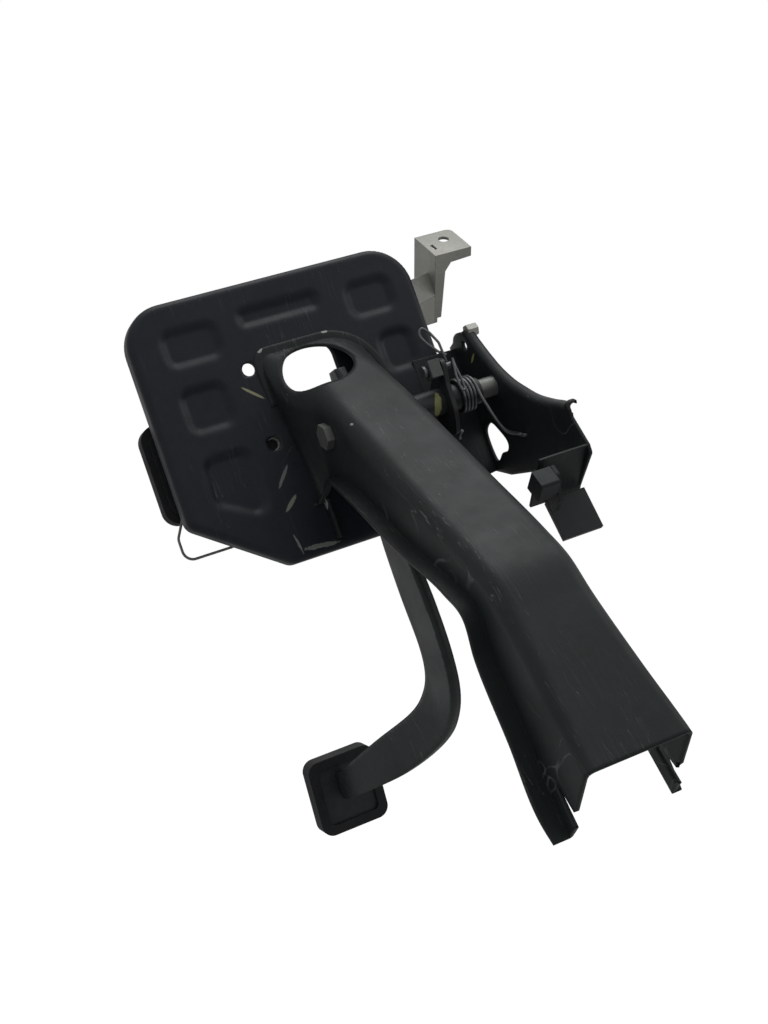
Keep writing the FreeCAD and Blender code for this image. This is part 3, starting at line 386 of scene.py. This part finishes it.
def bentSheet(name, slot, look, surface, trim, flip=False, body="frame"):
    low, high = numpy.array(look["low"], float), numpy.array(look["high"], float)
    bm = bmesh.new()
    bmesh.ops.create_grid(bm, x_segments=look["cells"][0], y_segments=look["cells"][1], size=0.5)
    spots = numpy.array([vert.co[:2] for vert in bm.verts])
    spots = low + (spots + 0.5) * (high - low)
    outside = trim(spots) > 0
    for vert, spot in zip(bm.verts, spots):
        vert.co = (*spot, 0)
    bmesh.ops.delete(bm, geom=[vert for vert, gone in zip(bm.verts, outside) if gone], context="VERTS")
    # the rim's points step onto the outline, each along the slope of its distance
    rim = [vert for vert in bm.verts if vert.is_boundary]
    spots = numpy.array([vert.co[:2] for vert in rim])
    furthest = rimLook["cells"] * max((high - low) / look["cells"])
    probe = rimLook["probe"]
    shifts = numpy.array([(probe, 0), (0, probe)])
    for _ in range(rimLook["steps"]):
        gap = trim(spots)
        slope = numpy.stack([(trim(spots + shift) - gap) / probe for shift in shifts], axis=1)
        steepness = numpy.maximum((slope ** 2).sum(axis=1), rimLook["flattest"])
        move = -(gap / steepness)[:, None] * slope
        near = (numpy.abs(move).max(axis=1) < furthest)[:, None]
        spots = numpy.clip(spots + numpy.where(near, move, 0), low, high)
    for vert, spot in zip(rim, spots):
        vert.co = (*spot, 0)
    places = surface(numpy.array([vert.co[:2] for vert in bm.verts])) / 1000
    for vert, place in zip(bm.verts, places):
        vert.co = place
    if flip:
        bmesh.ops.reverse_faces(bm, faces=bm.faces)
    piece = finishMesh(bm, name, slot, body, facing=False)
    skin = piece.modifiers.new("thickness", "SOLIDIFY")
    skin.thickness = look["thick"] / 1000
    skin.offset = -1
    return piece


def foldEdge(spots, loop, bend):
    # beyond the loop the sheet bends through a right angle and runs straight on
    gap, near = loopDistance(spots, loop)
    beyond = numpy.maximum(gap, 0)
    out = (spots - near) / numpy.maximum(numpy.abs(gap), tiny)[:, None]
    turn = numpy.minimum(beyond / bend, math.pi / 2)
    straight = numpy.maximum(beyond - bend * math.pi / 2, 0)
    flat = numpy.where((gap > 0)[:, None], near + out * (bend * numpy.sin(turn))[:, None], spots)
    return flat, bend * (1 - numpy.cos(turn)) + straight


def cutHoles(gap, spots, holes):
    for x, y, radius in holes:
        gap = numpy.maximum(gap, radius - numpy.linalg.norm(spots - numpy.array((x, y)), axis=1))
    return gap


# mounting plate with its pressed fields and bent rim

plateLook = {
    "corners": [(-136, 138), (87, 138), (87, -64), (-72.8, -64), (-136, -18.2)],
    "radii": [27, 27, 6, 6, 6], "cornerSteps": 14,
    "bend": 3.0, "wall": 9.0, "depth": 3.0, "slope": 8.5, "lead": 2.5, "round": 10.0,
    "fields": [
        (-94, 107, 46, 30), (-21, 116, 68, 16), (53, 107, 40, 30), (61, 62, 30, 34), (-98, 59, 38, 36),
    ],
    "slanted": [(-117, 24), (-77, 24), (-77, -27), (-90, -27), (-117, -12)],
    "opening": [(-38, 84), (8, 84), (8, 30), (-38, 30)], "openingRound": 12,
    "studs": [(-59, 78, 5), (-59, 20, 5)],
    "low": (-151, -79), "high": (102, 153), "cells": (190, 176), "thick": 2.0,
}
plateLoop = roundedLoop(plateLook["corners"], plateLook["radii"], plateLook["cornerSteps"])
openingLoop = roundedLoop(plateLook["opening"], [plateLook["openingRound"]] * 4)
fieldLoops = []
for x, z, wide, high in plateLook["fields"]:
    box = [(x + a * wide / 2, z + b * high / 2) for a, b in ((-1, 1), (1, 1), (1, -1), (-1, -1))]
    fieldLoops.append(roundedLoop(box, [min(plateLook["round"], high / 2 - 1)] * 4))
fieldLoops.append(roundedLoop(plateLook["slanted"], [plateLook["round"]] * 5))


def plateSurface(spots):
    flat, deep = foldEdge(spots, plateLoop, plateLook["bend"])
    for loop in fieldLoops:
        field = loopDistance(spots, loop)[0]
        deep = deep + plateLook["depth"] * smooth((plateLook["lead"] - field) / plateLook["slope"])
    return numpy.stack([flat[:, 0], deep, flat[:, 1]], axis=1)


def plateTrim(spots):
    gap = loopDistance(spots, plateLoop)[0] - (plateLook["bend"] * math.pi / 2 + plateLook["wall"])
    gap = numpy.maximum(gap, -loopDistance(spots, openingLoop)[0])
    return cutHoles(gap, spots, plateLook["studs"])


plate = bentSheet("plate_pressing", "plate_paint", plateLook, plateSurface, plateTrim, flip=True)
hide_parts("mounting_plate")
print("plate pressed")


# support channel: hat profiles along the bent spine, with a domed hood and a forked end

channelLook = {
    "slope": 43.9, "lower": 64.7, "kneeY": -212, "top": 84, "inner": 2.5, "standOff": 0.4, "probe": 0.004,
    "hole": {
        "centre": (-13.0, -17.5, 60.0), "normal": (-0.16, -0.76, 0.63), "radius": 26.5, "deep": 22, "run": 80,
    },
    "lip": {"left": 60, "right": 205, "from": -0.2}, "clear": -9, "gone": 5,
    "shares": [0, 0.07, 0.11, 0.33, 0.45, 0.70, 0.78, 0.92, 0.95, 1.0],
    "tipRun": 142.5,
    "fork": [(0, -9), (0, 2), (8, 38), (-13, 40.5), (-13, 44.5), (14, 47), (40, 47), (40, -9)],
    "low": (0, -7), "width": 230, "cells": (150, 256), "thick": 2.5,
}
slopeAngle = math.radians(channelLook["slope"])
lowerAngle = math.radians(channelLook["lower"])


def onSlope(y):
    return y, channelLook["top"] + y * math.tan(slopeAngle)


def belowKnee(run):
    knee = onSlope(channelLook["kneeY"])
    return knee[0] - run * math.cos(lowerAngle), knee[1] - run * math.sin(lowerAngle)


across = channelLook["slope"] - 90
acrossLower = channelLook["lower"] - 90
# each row: y, z, turn, left, right, depth, left flange, right flange, left round, right round, left foot
hatRows = [
    (*onSlope(0), -90, 47, 40, 118, 7, 7, 6, 38, 38),
    (*onSlope(-9), -88, 45, 36, 109, 5, 5, 22, 30, 37),
    (*onSlope(-20), -82, 42, 33, 97, 4, 4, 23, 22, 35),
    (*onSlope(-34), -74, 36, 31, 81, 3, 3, 20, 15, 32),
    (*onSlope(-44), -67, 32, 30, 69, 4, 4, 16, 12, 30),
    (*onSlope(-60), -59, 30, 30, 56, 8, 8, 12, 10, 30),
    (*onSlope(-90), across, 30, 30, 46, 11, 11, 12, 9, 30),
    (*onSlope(-150), across, 30, 30, 39, 11, 11, 10, 9, 30),
    (*onSlope(-196), -42, 30, 30, 30, 11, 11, 10, 9, 30),
    (*belowKnee(5), -34, 30, 30, 30, 11, 11, 10, 9, 30),
    (*belowKnee(34), acrossLower, 30.5, 30.5, 41, 12, 12, 9, 9, 30.5),
    (*belowKnee(90), acrossLower, 33, 33, 51, 13, 11, 7, 7, 33),
    (*belowKnee(143), acrossLower, 36, 36, 61, 13, 7, 5, 4, 36),
    (*belowKnee(156), acrossLower, 36.5, 36.5, 63, 11, 5, 5, 4, 36.5),
]
hatTable = numpy.array(hatRows, float)
hatRuns = numpy.concatenate([[0], numpy.cumsum(numpy.hypot(*numpy.diff(hatTable[:, :2], axis=0).T))])
channelLook["high"] = (channelLook["width"], hatRuns[-1])


def smoothRow(run):
    # cubic through the table's rows, with slopes from the neighbours
    slopes = numpy.gradient(hatTable, hatRuns, axis=0)
    k = numpy.clip(numpy.searchsorted(hatRuns, run) - 1, 0, len(hatRuns) - 2)
    width = (hatRuns[k + 1] - hatRuns[k])[:, None]
    t = (run - hatRuns[k])[:, None] / width
    start, end = hatTable[k], hatTable[k + 1]
    bend = (2 * t ** 3 - 3 * t ** 2 + 1) * start + (-2 * t ** 3 + 3 * t ** 2) * end
    return bend + (t ** 3 - 2 * t ** 2 + t) * width * slopes[k] + (t ** 3 - t ** 2) * width * slopes[k + 1]


def hatProfile(share, row):
    # across the hat: flange, bend, wall, corner, spine, corner, wall, bend, flange
    y, z, angle, left, right, depth, leftFlange, rightFlange, leftRound, rightRound, foot = row.T
    part = numpy.interp(share, channelLook["shares"], range(10))
    along = [numpy.clip(part - k, 0, 1) for k in range(9)]
    sine = [numpy.sin(way * numpy.pi / 2) for way in along]
    cosine = [numpy.cos(way * numpy.pi / 2) for way in along]
    inner = channelLook["inner"]
    wallEnd = depth - inner
    spine = left + right - leftRound - rightRound
    pieces = [
        (-foot - inner - (1 - along[0]) * leftFlange, depth),
        (-foot - inner * (1 - sine[1]), depth - inner * (1 - cosine[1])),
        (-foot + (foot - left) * along[2], wallEnd + (leftRound - wallEnd) * along[2]),
        (-left + leftRound * (1 - cosine[3]), leftRound * (1 - sine[3])),
        (-left + leftRound + spine * along[4], 0 * depth),
        (right - rightRound * (1 - sine[5]), rightRound * (1 - cosine[5])),
        (right, rightRound + (wallEnd - rightRound) * along[6]),
        (right + inner * (1 - cosine[7]), wallEnd + inner * sine[7]),
        (right + inner + along[8] * rightFlange, depth),
    ]
    which = numpy.minimum(part.astype(int), len(pieces) - 1)
    sideways = numpy.choose(which, [piece[0] for piece in pieces])
    deep = numpy.choose(which, [piece[1] for piece in pieces])
    turn = numpy.radians(angle)
    return numpy.stack([sideways, y + deep * numpy.cos(turn), z + deep * numpy.sin(turn)], axis=1)


def channelSurface(spots):
    share, run = spots[:, 0] / channelLook["width"], spots[:, 1]
    row = smoothRow(numpy.maximum(run, 0))
    points = hatProfile(share, row)
    # ahead of the first row the sheet turns outward and lies on the plate
    probe = channelLook["probe"]
    along = hatProfile(share + probe, row) - hatProfile(share - probe, row)
    out = numpy.stack([-along[:, 2], 0 * share, along[:, 0]], axis=1)
    out /= numpy.maximum(numpy.linalg.norm(out, axis=1), rimLook["flattest"])[:, None]
    points = points + out * numpy.maximum(-run, 0)[:, None]
    points[:, 1] = numpy.minimum(points[:, 1], -channelLook["standOff"])
    return points


tip = numpy.array(belowKnee(channelLook["tipRun"]))
ahead = numpy.array((-math.cos(lowerAngle), -math.sin(lowerAngle)))
outward = numpy.array((math.sin(lowerAngle), -math.cos(lowerAngle)))
forkLoop = numpy.array(channelLook["fork"])


def channelTrim(spots):
    points = channelSurface(spots)
    hole, lip, clear = channelLook["hole"], channelLook["lip"], channelLook["clear"]
    normal = numpy.array(hole["normal"]) / numpy.linalg.norm(hole["normal"])
    reach = points - numpy.array(hole["centre"])
    flat = reach - (reach @ normal)[:, None] * normal
    gap = hole["radius"] - numpy.linalg.norm(flat, axis=1)
    gap = numpy.where((numpy.abs(reach @ normal) < hole["deep"]) & (spots[:, 1] < hole["run"]), gap, clear)
    side = points[:, 1:] - tip
    fork = -loopDistance(numpy.stack([side @ ahead, side @ outward], axis=1), forkLoop)[0]
    beside = (spots[:, 0] < lip["left"]) | (spots[:, 0] > lip["right"])
    noLip = numpy.where((spots[:, 1] < lip["from"]) & beside, channelLook["gone"], clear)
    return numpy.maximum(numpy.maximum(gap, fork), noLip)


channel = bentSheet("channel_pressing", "channel_paint", channelLook, channelSurface, channelTrim)
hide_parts("support_channel")
print("channel pressed")


# flat pieces of sheet: an outline on a plane, given its thickness

edgeRound = {"segments": 2, "profile": 0.5, "affect": "EDGES", "material": -1}


def flatPiece(name, slot, points, axis, span, body="frame", rounding=0.0006):
    start, end = span
    bm = bmesh.new()
    orders = {
        "x": lambda a, b: (start, a, b),
        "y": lambda a, b: (a, start, b),
        "z": lambda a, b: (a, b, start),
    }
    verts = [bm.verts.new(Vector(orders[axis](a, b)) / 1000) for a, b in points]
    grown = bmesh.ops.extrude_face_region(bm, geom=[bm.faces.new(verts)])
    moved = [item for item in grown["geom"] if isinstance(item, bmesh.types.BMVert)]
    shift = Vector([(end - start) / 1000 if letter == axis else 0 for letter in "xyz"])
    bmesh.ops.translate(bm, verts=moved, vec=shift)
    bmesh.ops.bevel(bm, geom=bm.edges[:], offset=rounding, **edgeRound)
    return finishMesh(bm, name, slot, body, rounded=False)


footLook = {
    "plate": [(-38, 16), (-48, 14), (-58, 5), (-66.5, -14), (-66.5, -61.5), (-37, -61.5)],
    "plateY": (-2.4, -0.3),
    "upstand": [(-37, -8.8), (-34.5, -8.8), (-34.5, -0.4), (-37, -0.4)],
    "upstandZ": (-61.5, -31),
}
flatPiece("hood_foot_plate", "plate_paint", footLook["plate"], "y", footLook["plateY"])
flatPiece("hood_foot_upstand", "channel_paint", footLook["upstand"], "z", footLook["upstandZ"])


# side bracket: a cheek with a bent lip, its front apron and the plate that carries it

cheekLook = {
    "curved": [
        (0, 40), (-5, 55), (-14, 59), (-24, 56), (-31, 44.4), (-41, 29), (-51, 15.8), (-64, 3), (-77.3, -6.6),
        (-92, -16), (-107, -22.7), (-122, -28), (-137.7, -31),
    ],
    "cornered": [
        (-149.5, -61), (-149, -67), (-112, -88), (-97, -90), (-84, -70), (-62, -63), (-24, -58), (0, -50),
    ],
    "window": [
        (-6, -20), (-19.7, -15), (-30, -24.3), (-36, -34), (-32, -40), (-22, -40), (-12, -44), (-6, -40),
    ],
    "holes": [(-45, 9, 5.4), (-22, 47, 3.2)], "curveSteps": 8, "lip": 6.5, "bend": 2.5, "x": 107.0,
    "lipTop": -22, "lipTopFade": 6, "lipEnd": -141, "lipEndFade": 3,
    "lipAbove": ([-150, -60, 0], [-45, -30, 0]),
    "apron": [(-149.8, -61), (-112.5, -88.5), (-111.3, -86.5), (-148.3, -59.5)], "apronX": (66, 107.4),
    "foot": [(68, 50), (107, 50), (107, -50), (68, -55)], "footY": (-2.3, -0.3),
    "low": (-160, -94), "high": (4, 70), "cells": (150, 150), "thick": 2.2,
}


def curvePoint(a, b, c, d, t):
    # Catmull-Rom between b and c
    return b + 0.5 * t * (c - a + t * (2 * a - 5 * b + 4 * c - d + t * (3 * (b - c) + d - a)))


def softLoop(points, steps=8):
    # a closed smooth curve through the points
    loop = numpy.array(points, float)
    out = []
    for k in range(len(loop)):
        a, b, c, d = loop[k - 1], loop[k], loop[(k + 1) % len(loop)], loop[(k + 2) % len(loop)]
        out += [curvePoint(a, b, c, d, t) for t in numpy.arange(steps) / steps]
    return numpy.array(out)


curvedEdge = softLoop(cheekLook["curved"], cheekLook["curveSteps"])[:-cheekLook["curveSteps"]]
cheekLoop = numpy.concatenate([curvedEdge, [cheekLook["curved"][-1]], cheekLook["cornered"]])
windowLoop = softLoop(cheekLook["window"], cheekLook["curveSteps"])


def lipShare(near):
    # 1 along the curved top edge, 0 elsewhere
    top = smooth((cheekLook["lipTop"] - near[:, 0]) / cheekLook["lipTopFade"])
    end = smooth((near[:, 0] - cheekLook["lipEnd"]) / cheekLook["lipEndFade"])
    return top * end * (near[:, 1] > numpy.interp(near[:, 0], *cheekLook["lipAbove"]))


def cheekSurface(spots):
    flat, rise = foldEdge(spots, cheekLoop, cheekLook["bend"])
    return numpy.stack([cheekLook["x"] + rise, flat[:, 0], flat[:, 1]], axis=1)


def cheekTrim(spots):
    gap, near = loopDistance(spots, cheekLoop)
    gap = gap - cheekLook["lip"] * lipShare(near)
    gap = numpy.maximum(gap, -loopDistance(spots, windowLoop)[0])
    return cutHoles(gap, spots, cheekLook["holes"])


cheek = bentSheet("cheek_pressing", "bracket_paint", cheekLook, cheekSurface, cheekTrim)
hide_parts("side_bracket")
flatPiece("cheek_apron", "channel_paint", cheekLook["apron"], "x", cheekLook["apronX"])
flatPiece("cheek_foot_plate", "bracket_paint", cheekLook["foot"], "y", cheekLook["footY"])
print("side bracket pressed")


# return spring: a smooth wire whose lever end sits at the pedal

springLook = {
    "coil": 12.3, "wire": 1.25, "pitch": 2.9, "turns": 5, "steps": 180, "start": 72.25, "y": -45, "z": 9,
    "first": -14, "last": 168.9, "leverHook": [(65.0, -7, -26), (65.0, 1, -28.5)],
    "leverLeg": [(67.2, -27), (70.6, -14)], "cheekLeg": [(0.9, 14), (6, 38)],
    "cheekHook": [(101.5, -20, -42), (104, -24, -44.5), (109, -23, -43.5)],
}


def tube(name, slot, points, radius, sides=10):
    curve = bpy.data.curves.new(name + "_path", "CURVE")
    curve.dimensions = "3D"
    spline = curve.splines.new("POLY")
    spline.points.add(len(points) - 1)
    for place, point in zip(spline.points, points):
        place.co = (*[value / 1000 for value in point], 1)
    curve.bevel_depth = radius / 1000
    curve.bevel_resolution = sides // 2 - 2
    curve.use_fill_caps = True
    holder = bpy.data.objects.new(name + "_path", curve)
    mesh = bpy.data.meshes.new_from_object(holder)
    mesh.name = name
    bpy.data.objects.remove(holder)
    bpy.data.curves.remove(curve)
    mesh.materials.clear()
    return addPiece(mesh, name, slot)


def openCurve(points, steps=10):
    # a smooth curve through open points
    loop = [numpy.array(point, float) for point in [points[0], *points, points[-1]]]
    out = []
    for a, b, c, d in zip(loop, loop[1:], loop[2:], loop[3:]):
        out += [curvePoint(a, b, c, d, t) for t in numpy.arange(steps) / steps]
    return out + [loop[-1]]


def springPath(look):
    y, z, radius = look["y"], look["z"], look["coil"]
    first = math.radians(look["first"])
    last = math.radians(look["last"] + 360 * (look["turns"] - 1))

    def around(angle, along, reach=0):
        # a place on the coil's circle, or reach away from it along the tangent
        sine, cosine = math.sin(angle), math.cos(angle)
        return along, y + radius * cosine - reach * sine, z + radius * sine + reach * cosine

    coil = []
    for step in range(look["steps"] + 1):
        angle = first + (last - first) * step / look["steps"]
        coil.append(around(angle, look["start"] + look["pitch"] * (angle - first) / (2 * math.pi)))
    end = coil[-1][0]
    leverEnd = [(along, y + a, z + b) for along, a, b in look["leverHook"]]
    leverEnd += [around(first, along, reach) for along, reach in look["leverLeg"]]
    cheekEnd = [around(last, end + along, reach) for along, reach in look["cheekLeg"]]
    cheekEnd += [(along, y + a, z + b) for along, a, b in look["cheekHook"]]
    return openCurve([*leverEnd, coil[0]])[:-1] + coil + openCurve([coil[-1], *cheekEnd])[1:]


spring = tube("return_spring_wire", "spring_steel", springPath(springLook), springLook["wire"])
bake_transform(spring)
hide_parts("return_spring")
print("spring wound")


# pedal arm: one bar with a smooth outline, swept sideways to the pad

armLook = {
    "edge": [
        (-60, 17), (-50, 28), (-42.5, 38), (-40.0, 50), (-35.0, 61), (-27.5, 61), (-24.5, 50), (-25, 40),
        (-27, 8), (-22, -30), (-14, -71), (-12.5, -115), (-14.5, -155), (-8, -176), (8, -191), (32, -203),
        (80, -217), (140, -236), (155, -238), (159.5, -252), (152, -259.5), (128, -257.5), (70, -249),
        (16, -233), (-22, -215), (-44, -194), (-53, -165), (-54, -130), (-51, -90), (-58, -45), (-64, -5),
    ],
    "curveSteps": 6, "x": -5.0, "side": -41.0, "sweepStart": -14, "sweepLong": 168,
    "pinHole": [(-35, 43, 4.05)],
    "low": (-68, -264), "high": (164, 55), "cells": (150, 200), "thick": 8.0,
}
armLoop = softLoop(armLook["edge"], armLook["curveSteps"])


def armSurface(spots):
    share = smooth((spots[:, 0] - armLook["sweepStart"]) / armLook["sweepLong"])
    sideways = armLook["x"] + armLook["side"] * share
    return numpy.stack([sideways + armLook["thick"] / 2, spots[:, 0], spots[:, 1]], axis=1)


def armTrim(spots):
    return cutHoles(loopDistance(spots, armLoop)[0], spots, armLook["pinHole"])


arm = bentSheet("brake_arm_bar", "arm_paint", armLook, armSurface, armTrim, body="pedal")
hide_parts("brake_arm")


# small round pieces: the stud's end in the welded nut, in the blackest rubber finish as painted shade for the
# nut's dark inside, and the cheek's zinc screw

def roundPiece(name, slot, look, body="frame", rounding=0.0003):
    bm = bmesh.new()
    radius, long, sides = look["radius"] / 1000, look["long"] / 1000, look["sides"]
    bmesh.ops.create_cone(bm, cap_ends=True, segments=sides, radius1=radius, radius2=radius, depth=long)
    bmesh.ops.bevel(bm, geom=bm.edges[:], offset=rounding, **edgeRound)
    turn = Vector((0, 0, 1)).rotation_difference(Vector(look["axis"])).to_matrix()
    bmesh.ops.rotate(bm, verts=bm.verts, cent=(0, 0, 0), matrix=turn)
    bmesh.ops.translate(bm, verts=bm.verts, vec=Vector(look["spot"]) / 1000)
    return finishMesh(bm, name, slot, body, rounded=False)


roundLooks = {
    "studEndShade": {"spot": (-59, 6.2, 20), "axis": (0, 1, 0), "radius": 4.15, "long": 4.0, "sides": 32},
    "cheekScrew": {"spot": (111.8, -27, 56.5), "axis": (1, 0, 0), "radius": 5.2, "long": 9.0, "sides": 6},
}
# painted shade: the stud's end takes the blackest rubber finish and stands in for the shadowed inside of the
# blind nut
roundPiece("lower_stud_end_shade", "rest_rubber", roundLooks["studEndShade"])
studHead = roundPiece("cheek_screw", "zinc_plate", roundLooks["cheekScrew"])
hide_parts("cheek_stud")
print("arm and small pieces made")


# floor, backdrop and lamps

floorLook = {
    "height": -0.62, "reach": 14.0, "grey": (0.08, 0.08, 0.08, 1), "rough": 0.9, "glow": (0.35, 0.985),
}
worldLook = {"lit": 0.62, "seen": 1.0}
lampTarget = (0, -0.08, -0.05)
lamps = {
    "overhead": {"spot": (0.55, -0.35, 1.5), "size": 1.3, "power": 13},
    "side": {"spot": (1.4, -0.9, 0.5), "size": 1.0, "power": 4},
}


def plainWhite(name):
    # the camera sees it nearly white, while it lights the piece less
    material, tree, shader = newMaterial(name)
    shader.inputs["Base Color"].default_value = floorLook["grey"]
    shader.inputs["Roughness"].default_value = floorLook["rough"]
    shader.inputs["Specular IOR Level"].default_value = 0.0
    shader.inputs["Emission Color"].default_value = (1, 1, 1, 1)
    rays = tree.nodes.new("ShaderNodeLightPath")
    glow = spread(tree, rays.outputs["Is Camera Ray"], 0, 1, *floorLook["glow"])
    put(tree, shader.inputs["Emission Strength"], glow)
    return material


bm = bmesh.new()
bmesh.ops.create_grid(bm, x_segments=1, y_segments=1, size=floorLook["reach"])
bmesh.ops.translate(bm, verts=bm.verts, vec=(0, 0, floorLook["height"]))
floorMesh = bpy.data.meshes.new("floor")
bm.to_mesh(floorMesh)
bm.free()
floorMesh.materials.append(plainWhite("floorWhite"))
floor = bpy.data.objects.new("floor", floorMesh)
scene.collection.objects.link(floor)

world = bpy.data.worlds.new("studio")
scene.world = world
world.use_nodes = True
worldTree = world.node_tree
background = worldTree.nodes["Background"]
rays = worldTree.nodes.new("ShaderNodeLightPath")
seen = sums(worldTree, "MAXIMUM", rays.outputs["Is Camera Ray"], rays.outputs["Is Transmission Ray"])
strength = spread(worldTree, seen, 0, 1, worldLook["lit"], worldLook["seen"])
put(worldTree, background.inputs["Strength"], strength)
background.inputs["Color"].default_value = (1, 1, 1, 1)

for name, look in lamps.items():
    data = bpy.data.lights.new(name, "AREA")
    data.shape = "DISK"
    data.size = look["size"]
    data.energy = look["power"]
    lamp = bpy.data.objects.new(name, data)
    lamp.location = look["spot"]
    lamp.rotation_euler = (Vector(lampTarget) - Vector(look["spot"])).to_track_quat("-Z", "Y").to_euler()
    scene.collection.objects.link(lamp)
print("floor, backdrop and lamps set")


# camera at the photograph's viewpoint

cameraLook = {
    "spot": (-0.4362, -1.1157, -0.1111), "right": (0.8832, -0.3328, -0.3303), "up": (0.2901, -0.1638, 0.9429),
    "lens": 56.25, "sensor": 36,
}
right = Vector(cameraLook["right"]).normalized()
up = Vector(cameraLook["up"])
up = (up - right * up.dot(right)).normalized()
back = right.cross(up)
cameraData = bpy.data.cameras.new("camera")
cameraData.sensor_fit = "VERTICAL"
cameraData.sensor_height = cameraLook["sensor"]
cameraData.lens = cameraLook["lens"]
camera = bpy.data.objects.new("camera", cameraData)
camera.matrix_world = Matrix.Translation(cameraLook["spot"]) @ Matrix((right, up, back)).transposed().to_4x4()
scene.collection.objects.link(camera)
scene.camera = camera
scene.view_settings.view_transform = "Standard"
print("camera set")
